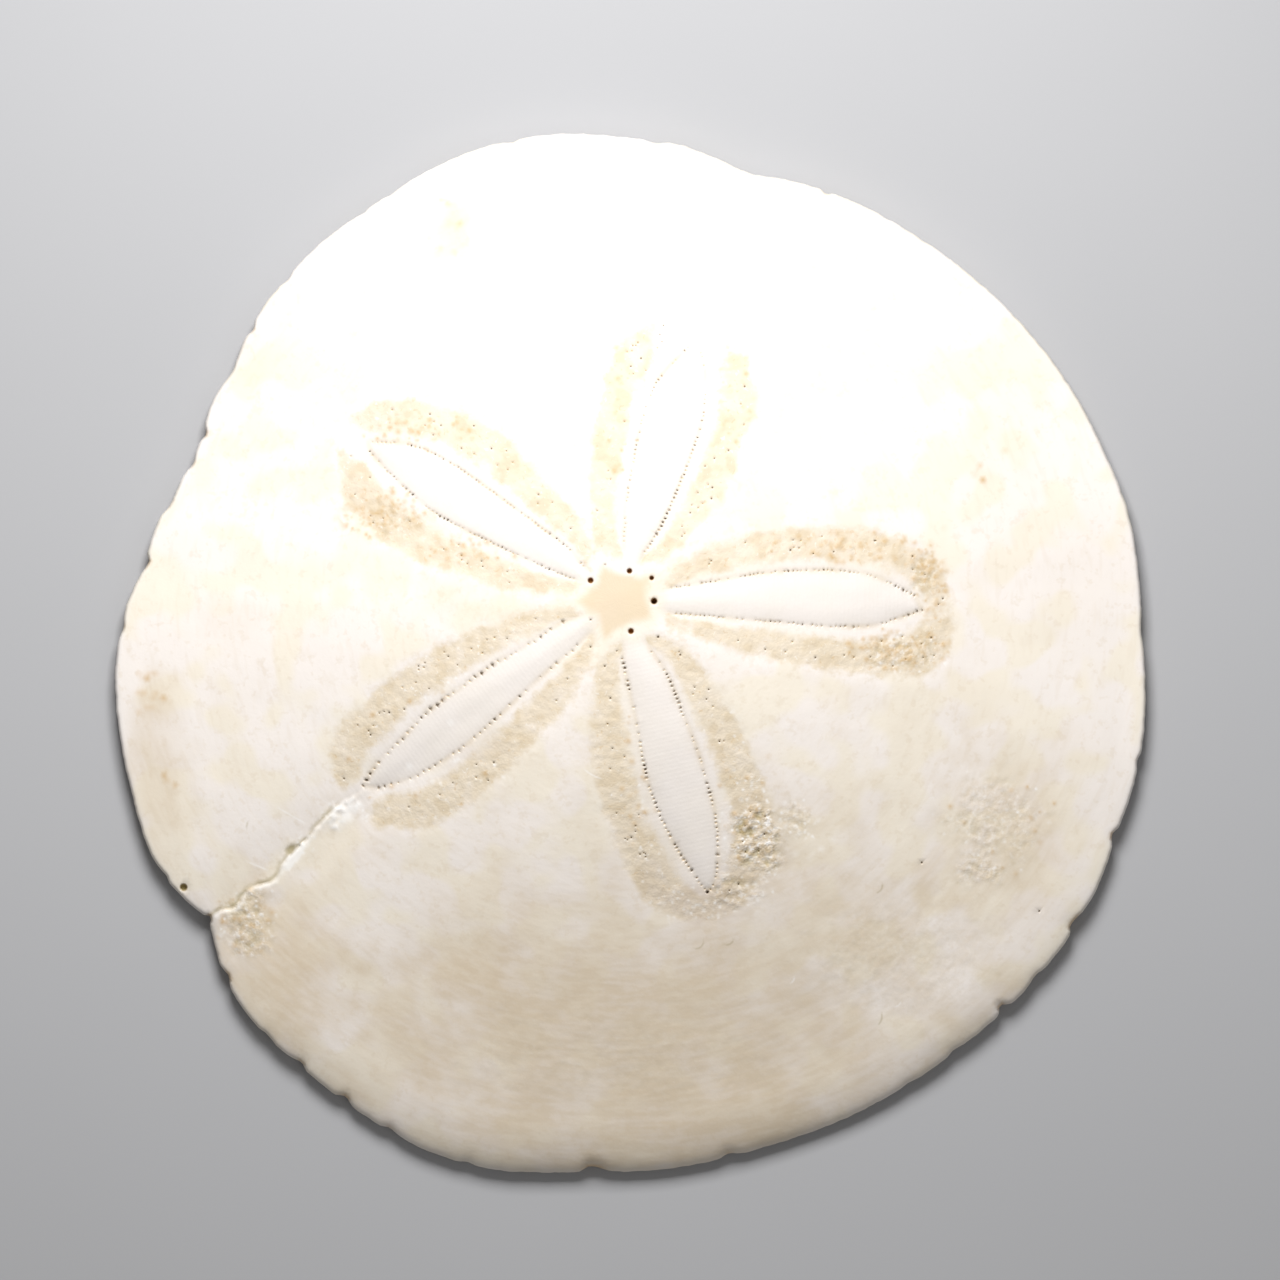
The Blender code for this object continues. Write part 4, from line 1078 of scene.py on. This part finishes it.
def hex_grid(low, high, step):
    """A grid of evenly spaced points over a box, slightly scattered."""
    scatter = np.random.default_rng(SEED)
    rise = step * math.sqrt(0.75)
    row, column = np.mgrid[
        math.floor(low[1] / rise):math.ceil(high[1] / rise) + 1,
        math.floor(low[0] / step):math.ceil(high[0] / step) + 1,
    ]
    points = np.column_stack((
        ((column + 0.5 * (row % 2)) * step).ravel(), (row * rise).ravel()))
    return points + scatter.uniform(-step / 8, step / 8, points.shape)


def grid_over_shell(step):
    """The same grid over the whole shell."""
    return hex_grid((-WIDEST_REACH, -WIDEST_REACH), (WIDEST_REACH, WIDEST_REACH), step)


def clear_of(points, others, gap):
    """The points that keep a gap to the others."""
    if len(others) == 0 or len(points) == 0:
        return points
    tree = kdtree.KDTree(len(others))
    for index, (x, y) in enumerate(others):
        tree.insert((x, y, 0.0), index)
    tree.balance()
    kept = [tree.find((x, y, 0.0))[2] > gap for x, y in points]
    return points[np.array(kept)]


def stack_points(groups):
    """Join groups of (points, gap), each new group keeping its gap to those before."""
    joined = np.zeros((0, 2))
    for points, gap in groups:
        joined = np.vstack((joined, clear_of(points, joined, gap)))
    return joined


def fine_patches():
    """Closely spaced points where the surface has its fine detail."""
    patches = []
    for petal in PETALS.values():
        edge, _, _, middle = petal_lines(petal)
        grid = hex_grid(edge.min(axis=0) - 1.0, edge.max(axis=0) + 1.0, FINE_GRID)
        grid = grid[depth_inside(grid, edge) > -0.5]
        patches.append(grid[depth_inside(grid, middle) < 0.5])
    for x, y, reach_x, reach_y, _ in CRUSTS:
        grid = hex_grid((x - reach_x, y - reach_y), (x + reach_x, y + reach_y), FINE_GRID)
        patches.append(grid[ellipse_share(grid, x, y, reach_x, reach_y) > 0.0])
    line = curve_through(CRACK, 1.0)
    grid = hex_grid(line.min(axis=0) - CRACK_PATCH, line.max(axis=0) + CRACK_PATCH, FINE_GRID)
    patches.append(grid[distance_to_line(grid, line) < CRACK_PATCH])
    grid = hex_grid((-STAR_PATCH, -STAR_PATCH), (STAR_PATCH, STAR_PATCH), FINE_GRID)
    patches.append(grid[distance_to(grid, (0.0, 0.0)) < STAR_PATCH])
    return patches


def inside_of(points, inset):
    """The points that lie further in from the rim than inset."""
    return points[polar(points)[1] > inset + INNER_RING_GAP]


def round_pores(places):
    """Round pores at the places of the holes or the pits."""
    return [Pore(x, y, 0.0, radius, radius, 0.0, 0.0) for x, y, radius, _, _ in places]


def top_points(sizes):
    """Plan points of the upper surface, the finest features first."""
    pores = round_pores(PITS)
    for name, petal in PETALS.items():
        pores += petal_pores(petal, name, sizes)
    painted_highlights = [painted_highlight_of(pore) for pore in pores]
    crack = evenly_spaced(curve_through(CRACK, CRACK_STEP), CRACK_STEP)
    inner = TOP_RINGS[-1]
    groups = [
        (pit_points(round_pores(HOLES), HOLE_SIDES, HOLE_RINGS), 0.0),
        (pit_points(pores, PORE_SIDES, PORE_RINGS), RING_GAP),
        (pit_points(painted_highlights, PORE_SIDES, PAINTED_HIGHLIGHT_RINGS), RING_GAP),
        (inside_of(crack, inner), CRACK_GAP),
    ]
    for aside in CRACK_LINES:
        groups.append((inside_of(beside(crack, aside * CRACK_HALF_WIDTH), inner), BANK_GAP))
    for inset in TOP_RINGS:
        groups.append((ring(inset), RING_GAP))
    for scratch in WHITE_SCRATCHES + OLIVE_HAIRS:
        line = evenly_spaced(scratch_line(*scratch), SCRATCH_STEP)
        for aside in SCRATCH_LINES:
            groups.append((beside(line, aside * SCRATCH_WIDTH), SCRATCH_GAP))
    for grid in fine_patches():
        groups.append((inside_of(grid, inner), FINE_GAP))
    groups.append((inside_of(grid_over_shell(COARSE_GRID), inner), COARSE_GAP))
    return stack_points(groups)


def under_points():
    """Plan points of the underside."""
    groups = [(ring(inset), RING_GAP) for inset in UNDER_RINGS]
    groups.append((inside_of(grid_over_shell(UNDER_GRID), UNDER_RINGS[-1]), UNDER_GAP))
    return stack_points(groups)


def surface(nose, points, layers_of, *settings):
    """Triangles over the outline, with the layers of every point."""
    plan = [Vector(point) for point in np.vstack((nose, points))]
    outline = list(range(len(nose)))
    inside_only = 1
    flat, _, faces, origins, _, _ = geometry.delaunay_2d_cdt(
        plan, [], [outline], inside_only, MERGE_GAP)
    flat = np.array(flat)
    on_nose = {origin[0]: index for index, origin in enumerate(origins) if origin}
    return flat, faces, layers_of(flat, *settings), [on_nose[i] for i in outline]


def apex_place():
    """Where the apex stands over the floor, in metres."""
    nose = ring(0.0)
    middle = (nose.min(axis=0) + nose.max(axis=0)) / 2 * MM
    low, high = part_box(NODE)
    return np.array(((low.x + high.x) / 2 - middle[0], (low.y + high.y) / 2 - middle[1], low.z))


def store(mesh, name, kind, field, values):
    """Keep values with the mesh's points under a name."""
    layer = mesh.attributes.new(name, kind, "POINT")
    layer.data.foreach_set(field, values.astype(np.float32).ravel())


def shell_mesh(sizes, colours):
    """The finished shell: both surfaces joined along the nose of the rim."""
    nose = ring(0.0)
    top, top_faces, top_values, top_nose = surface(nose, top_points(sizes), top_layers, sizes)
    under, under_faces, under_values, under_nose = surface(nose, under_points(), under_layers)
    renumbered = dict(zip(under_nose, top_nose))
    fresh = [index for index in range(len(under)) if index not in renumbered]
    renumbered.update({index: len(top) + place for place, index in enumerate(fresh)})
    faces = [tuple(face) for face in top_faces]
    faces += [tuple(renumbered[i] for i in reversed(face)) for face in under_faces]
    values = {name: np.concatenate((top_values[name], under_values[name][fresh]))
              for name in top_values}
    plan = np.vstack((top, under[fresh]))
    positions = np.column_stack((plan, values["height"])) * MM + apex_place()
    mesh = bpy.data.meshes.new("finished_shell")
    mesh.from_pydata(positions.tolist(), [], faces)
    for name in LAYER_NAMES:
        store(mesh, name, "FLOAT", "value", values[name])
    store(mesh, "paint", "FLOAT_COLOR", "color", overlay(values, colours))
    store(mesh, "growth", "FLOAT_VECTOR", "vector", growth_places(plan, values["reach"]))
    map_shell(mesh, plan, values["inset"], len(top_faces))
    is_under = np.arange(len(faces)) >= len(top_faces)
    mesh.polygons.foreach_set("material_index", is_under.astype(np.int32))
    mesh.shade_smooth()
    return mesh


def map_shell(mesh, plan, inset, top_count):
    """Lay the two sides flat on one square: the upper side large, the underside small."""
    half = WIDEST_REACH + MAP_ROOM
    near_rim = np.clip(1.0 - inset / CALM_RUN, 0.0, 1.0)
    stretch = 1.0 + RIM_MAP_STRETCH * near_rim**2 / half
    spread = plan * stretch[:, None] / (2.0 * half)
    top_places = spread * TOP_MAP_SHARE + (TOP_MAP_SHARE / 2 + MAP_MARGIN)
    under_places = spread * (-UNDER_MAP_SHARE, UNDER_MAP_SHARE)
    under_places += 1.0 - UNDER_MAP_SHARE / 2 - MAP_MARGIN
    corners = np.empty(len(mesh.loops), dtype=np.int32)
    mesh.loops.foreach_get("vertex_index", corners)
    starts = np.empty(len(mesh.polygons), dtype=np.int32)
    mesh.polygons.foreach_get("loop_start", starts)
    is_top = np.arange(len(corners)) < starts[top_count]
    uv = np.where(is_top[:, None], top_places[corners], under_places[corners])
    mesh.uv_layers.new(name="OFBake").data.foreach_set("uv", uv.astype(np.float32).ravel())


# The sockets that a Mix node uses for colours
MIX_SHARE = 0
MIX_FIRST = 6
MIX_SECOND = 7
MIX_COLOUR = 2


class Painter:
    """Short ways to add the nodes of one material or node group."""

    def __init__(self, tree):
        self.tree = tree

    def node(self, kind):
        return self.tree.nodes.new(kind)

    def feed(self, socket, value):
        """Link value to a socket if it is an output, and set it otherwise."""
        if isinstance(value, bpy.types.NodeSocket):
            self.tree.links.new(value, socket)
        elif socket.type == "RGBA":
            socket.default_value = (*value, 1.0)
        else:
            socket.default_value = value

    def layer(self, name, output="Fac"):
        """The value of one of the mesh's named layers."""
        node = self.node("ShaderNodeAttribute")
        node.attribute_name = name
        return node.outputs[output]

    def scaled(self, vector, factor):
        """A vector times a number."""
        node = self.node("ShaderNodeVectorMath")
        node.operation = "SCALE"
        self.feed(node.inputs[0], vector)
        node.inputs["Scale"].default_value = factor
        return node.outputs["Vector"]

    def millimetres(self):
        """The surface's own coordinates, in millimetres."""
        return self.scaled(self.node("ShaderNodeTexCoord").outputs["Object"], 1.0 / MM)

    def sum(self, operation, first, second=0.0):
        """One step of arithmetic."""
        node = self.node("ShaderNodeMath")
        node.operation = operation
        self.feed(node.inputs[0], first)
        self.feed(node.inputs[1], second)
        return node.outputs[0]

    def plus(self, first, second):
        return self.sum("ADD", first, second)

    def times(self, first, second):
        return self.sum("MULTIPLY", first, second)

    def span(self, value, low, high, to_low=0.0, to_high=1.0):
        """Ease the stretch from low to high onto another, clamped."""
        node = self.node("ShaderNodeMapRange")
        node.interpolation_type = "SMOOTHSTEP"
        self.feed(node.inputs["Value"], value)
        for name, number in (("From Min", low), ("From Max", high),
                             ("To Min", to_low), ("To Max", to_high)):
            node.inputs[name].default_value = number
        return node.outputs["Result"]

    def clouds(self, place, size, detail=2.0, roughness=0.6):
        """Noise whose blots are about size across."""
        node = self.node("ShaderNodeTexNoise")
        self.feed(node.inputs["Vector"], place)
        node.inputs["Scale"].default_value = 1.0 / size
        node.inputs["Detail"].default_value = detail
        node.inputs["Roughness"].default_value = roughness
        return node.outputs["Fac"]

    def mix(self, share, first, second):
        """Mix two colours."""
        node = self.node("ShaderNodeMix")
        node.data_type = "RGBA"
        self.feed(node.inputs[MIX_SHARE], share)
        self.feed(node.inputs[MIX_FIRST], first)
        self.feed(node.inputs[MIX_SECOND], second)
        return node.outputs[MIX_COLOUR]

    def overlaid(self, under):
        """The colour under the mesh's painted masks, with those laid over it."""
        covered = self.layer("paint", "Alpha")
        add = self.node("ShaderNodeVectorMath")
        self.feed(add.inputs[0], self.mix(covered, under, (0.0, 0.0, 0.0)))
        self.feed(add.inputs[1], self.layer("paint", "Color"))
        return add.outputs["Vector"]

    def group(self, tree, **values):
        """Place a node group and feed its inputs by name."""
        node = self.node("ShaderNodeGroup")
        node.node_tree = tree
        for name, value in values.items():
            self.feed(node.inputs[name], value)
        return node.outputs


def new_group(name, inputs, outputs):
    """An empty node group: its painter, what comes in and what goes out."""
    tree = bpy.data.node_groups.new(name, "ShaderNodeTree")
    for label, kind in inputs.items():
        tree.interface.new_socket(label, in_out="INPUT", socket_type=f"NodeSocket{kind}")
    for label, kind in outputs.items():
        tree.interface.new_socket(label, in_out="OUTPUT", socket_type=f"NodeSocket{kind}")
    paint = Painter(tree)
    return paint, paint.node("NodeGroupInput").outputs, paint.node("NodeGroupOutput").inputs


def mottling_group():
    """Clouds of chalk in cream, streaked along the growth lines and laid with beige, partly real
    stains and partly painted shade towards the bottom.
    """
    paint, given, out = new_group(
        "mottling",
        {"Place": "Vector", "Growth": "Vector", "Cream": "Color", "Chalk": "Color",
         "Beige": "Color", "Stain": "Float"},
        {"Colour": "Color", "Fleck": "Float"},
    )
    slow = paint.clouds(given["Place"], CLOUD_SIZE, 1.0)
    fleck = paint.clouds(given["Place"], FLECK_SIZE, 2.0, 0.7)
    streak = paint.clouds(given["Growth"], 1.0, 1.0)
    lively = paint.plus(paint.times(streak, 0.9), paint.times(fleck, 0.5))
    tint = paint.mix(paint.span(slow, 0.42, 0.56), given["Cream"], given["Chalk"])
    for share in (
        paint.span(fleck, 0.54, 0.7, 0.0, 0.24), paint.span(streak, 0.52, 0.72, 0.0, 0.12),
        paint.times(given["Stain"], paint.span(lively, 0.5, 0.85, 0.84, 1.1)),
    ):
        tint = paint.mix(share, tint, given["Beige"])
    paint.feed(out["Colour"], tint)
    paint.feed(out["Fleck"], fleck)
    return paint.tree


def fine_relief_group():
    """Grain and growth streaks too fine for the mesh."""
    paint, given, out = new_group(
        "fine_relief",
        {"Place": "Vector", "Growth": "Vector", "Grit": "Float"},
        {"Height": "Float"},
    )
    grain = paint.times(paint.clouds(given["Place"], GRAIN_SIZE, 1.0, 0.7), given["Grit"])
    streak = paint.times(paint.clouds(given["Growth"], 0.8, 0.0), 0.25)
    paint.feed(out["Height"], paint.plus(grain, streak))
    return paint.tree


def new_material(name):
    """A material with a plain shader, and its painter."""
    material = bpy.data.materials.new(name)
    material.use_nodes = True
    return material, Painter(material.node_tree), material.node_tree.nodes["Principled BSDF"]


def start_material(name, colours, groups):
    """A material's shader with the mottled shell colour, and what its later steps build on."""
    material, paint, shader = new_material(name)
    place = paint.millimetres()
    growth = paint.layer("growth", "Vector")
    shell = paint.group(
        groups["mottling"], Place=place, Growth=growth, Cream=colours.cream,
        Chalk=colours.chalk, Beige=colours.beige, Stain=paint.layer("stain_and_shade"))
    return material, paint, shader, place, growth, shell


def finish_shader(paint, shader, tint, height, roughness):
    """Feed the shader with its colour and its fine relief."""
    bump = paint.node("ShaderNodeBump")
    bump.inputs["Strength"].default_value = BUMP_STRENGTH
    bump.inputs["Distance"].default_value = BUMP_HEIGHT
    paint.feed(bump.inputs["Height"], height)
    paint.feed(shader.inputs["Base Color"], tint)
    paint.feed(shader.inputs["Normal"], bump.outputs["Normal"])
    paint.feed(shader.inputs["Roughness"], roughness)
    shader.inputs["Specular IOR Level"].default_value = SHELL_SPECULAR


def upper_material(colours, groups):
    """The upper side: petals, star, crusty patches, crack, pores and holes."""
    material, paint, shader, place, growth, shell = start_material(
        "bleached_shell", colours, groups)
    band, middle, strip, crust, grit = (
        paint.layer(name) for name in ("band", "middle", "strip", "crust", "grit"))
    tint = shell["Colour"]
    sandy = paint.clouds(place, SAND_SIZE, 1.0, 0.7)
    blotch = paint.clouds(place, BLOTCH_SIZE, 1.0)

    # The bands dissolve into the shell in blotches and grains, some pale and some brown
    uneven = paint.sum("SUBTRACT", paint.plus(sandy, blotch), 1.0)
    grainy = paint.plus(band, paint.times(uneven, 0.55))
    band_share = paint.times(paint.span(grainy, 0.1, 0.95), paint.span(band, 0.02, 0.3))
    tint = paint.mix(paint.times(strip, 0.55), tint, colours.middle)
    tint = paint.mix(paint.times(band_share, 0.95), tint, colours.band)
    for mottle, low, high, strength, mottle_colour in (
        (blotch, 0.52, 0.66, 0.3, colours.tan), (blotch, 0.47, 0.34, 0.2, colours.chalk),
        (grit, 0.16, 0.06, 0.3, colours.ochre), (grit, 0.86, 0.96, 0.4, colours.white),
    ):
        share = paint.times(band_share, paint.span(mottle, low, high, 0.0, strength))
        tint = paint.mix(share, tint, mottle_colour)
    tint = paint.mix(paint.times(middle, 0.85), tint, colours.middle)

    # The crusty patches: tan creases, partly the crust's colour and partly painted shade, and chalky
    # crests, partly painted highlights
    for low, high, strength, over in (
        (0.54, 0.36, 0.8, colours.tan), (0.58, 0.68, 0.9, colours.white),
    ):
        share = paint.span(sandy, low, high, 0.0, strength)
        tint = paint.mix(paint.times(crust, share), tint, over)

    # Fine striations cross the petals
    ribs = paint.sum("SINE", paint.times(paint.layer("along"), 2.0 * math.pi / RIB_PITCH))
    ribs = paint.times(paint.times(ribs, RIB_HEIGHT), paint.plus(middle, strip))
    rough = paint.sum("MAXIMUM", paint.times(band, 0.4), crust)
    rough = paint.span(rough, 0.0, 1.0, 0.3, 3.2)
    relief = paint.group(groups["fine_relief"], Place=place, Growth=growth, Grit=rough)
    finish_shader(
        paint, shader, paint.overlaid(tint), paint.plus(relief["Height"], ribs),
        paint.span(middle, 0.0, 1.0, 0.78, 0.62))
    return material


def under_material(colours, groups):
    """The underside: low knobs all over, food grooves, mouth and vent."""
    material, paint, shader, place, growth, shell = start_material(
        "bleached_underside", colours, groups)
    tint = paint.overlaid(paint.mix(paint.layer("band"), shell["Colour"], colours.band))
    cells = paint.node("ShaderNodeTexVoronoi")
    paint.feed(cells.inputs["Vector"], place)
    cells.inputs["Scale"].default_value = 1.0 / KNOB_SIZE
    knobs = paint.span(cells.outputs["Distance"], 0.42, 0.1, 0.0, 0.9)
    relief = paint.group(groups["fine_relief"], Place=place, Growth=growth, Grit=0.6)
    finish_shader(
        paint, shader, tint, paint.plus(relief["Height"], knobs),
        paint.span(shell["Fleck"], 0.3, 0.7, 0.7, 0.8))
    return material


def floor_material(floor_colour):
    """A plain, matt floor with the slightest unevenness."""
    material, paint, shader = new_material("pale_floor")
    soft = paint.clouds(paint.millimetres(), FLOOR_CLOUD_SIZE)
    darker = tuple(0.97 * part for part in floor_colour)
    paint.feed(shader.inputs["Base Color"], paint.mix(soft, floor_colour, darker))
    shader.inputs["Roughness"].default_value = 0.85
    return material


def area_light(name, place, size, power):
    """A square soft light that faces the middle of the floor."""
    lamp = bpy.data.lights.new(name, "AREA")
    lamp.shape = "SQUARE"
    lamp.size = size
    lamp.energy = power
    light = bpy.data.objects.new(name, lamp)
    light.location = place
    light.rotation_euler = (-Vector(place)).to_track_quat("-Z", "Y").to_euler()
    light.visible_camera = False
    bpy.context.scene.collection.objects.link(light)


class SANDDOLLAR_OT_shell(bpy.types.Operator):
    """Build the finished shell in place of the plain one"""

    bl_idname = "sand_dollar.shell"
    bl_label = "Build shell"
    bl_options = {"REGISTER", "UNDO"}

    def execute(self, context):
        colours = context.scene.sand_dollar_colours
        mesh = shell_mesh(context.scene.sand_dollar_sizes, colours)
        groups = {"mottling": mottling_group(), "fine_relief": fine_relief_group()}
        mesh.materials.append(upper_material(colours, groups))
        mesh.materials.append(under_material(colours, groups))
        shell = bpy.data.objects.new("finished_shell", mesh)
        context.scene.collection.objects.link(shell)
        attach(shell, "root")
        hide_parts(NODE)
        return {"FINISHED"}


class SANDDOLLAR_OT_stage(bpy.types.Operator):
    """Lay the floor, hang the lights and set the camera"""

    bl_idname = "sand_dollar.stage"
    bl_label = "Build stage"
    bl_options = {"REGISTER", "UNDO"}

    def execute(self, context):
        stage = context.scene.sand_dollar_stage
        self.lay_floor(context, stage)
        self.hang_lights(context, stage)
        self.set_camera(context)
        return {"FINISHED"}

    def lay_floor(self, context, stage):
        corners = [
            (x * FLOOR_HALF, y * FLOOR_HALF, 0.0)
            for x, y in ((-1, -1), (1, -1), (1, 1), (-1, 1))
        ]
        mesh = bpy.data.meshes.new("floor")
        mesh.from_pydata(corners, [], [(0, 1, 2, 3)])
        mesh.materials.append(floor_material(stage.floor_colour))
        floor = bpy.data.objects.new("floor", mesh)
        floor.location.z = -FLOOR_DROP
        context.scene.collection.objects.link(floor)

    def hang_lights(self, context, stage):
        area_light("key", KEY_PLACE, KEY_SIZE, stage.key_power)
        area_light("fill", FILL_PLACE, FILL_SIZE, stage.fill_power)
        world = bpy.data.worlds.new("room")
        world.use_nodes = True
        room = world.node_tree.nodes["Background"].inputs
        room["Strength"].default_value = stage.room_light
        room["Color"].default_value = (1.0, 1.0, 1.0, 1.0)
        context.scene.world = world
        context.scene.view_settings.view_transform = "Standard"

    def set_camera(self, context):
        lens = bpy.data.cameras.new("camera")
        lens.lens = LENS
        lens.sensor_width = SENSOR
        lens.dof.use_dof = False
        camera = bpy.data.objects.new("camera", lens)
        apex_x, apex_y, _ = apex_place()
        height = RIM_PLANE + VIEW_WIDTH * LENS / SENSOR
        camera.location = (apex_x + VIEW_AIM[0], apex_y + VIEW_AIM[1], height)
        context.scene.collection.objects.link(camera)
        context.scene.camera = camera


class SANDDOLLAR_PT_sidebar(bpy.types.Panel):
    """Sizes, colours and steps of the sand dollar"""

    bl_label = "Sand dollar"
    bl_space_type = "VIEW_3D"
    bl_region_type = "UI"
    bl_category = "Sand dollar"

    def draw(self, context):
        layout = self.layout
        for settings in (
            context.scene.sand_dollar_sizes,
            context.scene.sand_dollar_colours,
            context.scene.sand_dollar_stage,
        ):
            box = layout.box()
            for name in settings.__annotations__:
                box.prop(settings, name)
        for operator in OPERATORS:
            layout.operator(operator.bl_idname)


OPERATORS = (SANDDOLLAR_OT_shell, SANDDOLLAR_OT_stage)
CLASSES = (
    SandDollarSizes, SandDollarColours, SandDollarStage, *OPERATORS, SANDDOLLAR_PT_sidebar,
)


def register():
    for kind in CLASSES:
        bpy.utils.register_class(kind)
    bpy.types.Scene.sand_dollar_sizes = bpy.props.PointerProperty(type=SandDollarSizes)
    bpy.types.Scene.sand_dollar_colours = bpy.props.PointerProperty(type=SandDollarColours)
    bpy.types.Scene.sand_dollar_stage = bpy.props.PointerProperty(type=SandDollarStage)


def unregister():
    del bpy.types.Scene.sand_dollar_stage
    del bpy.types.Scene.sand_dollar_colours
    del bpy.types.Scene.sand_dollar_sizes
    for kind in reversed(CLASSES):
        bpy.utils.unregister_class(kind)


def main():
    register()
    bpy.ops.sand_dollar.shell()
    bpy.ops.sand_dollar.stage()


if __name__ == "__main__":
    main()
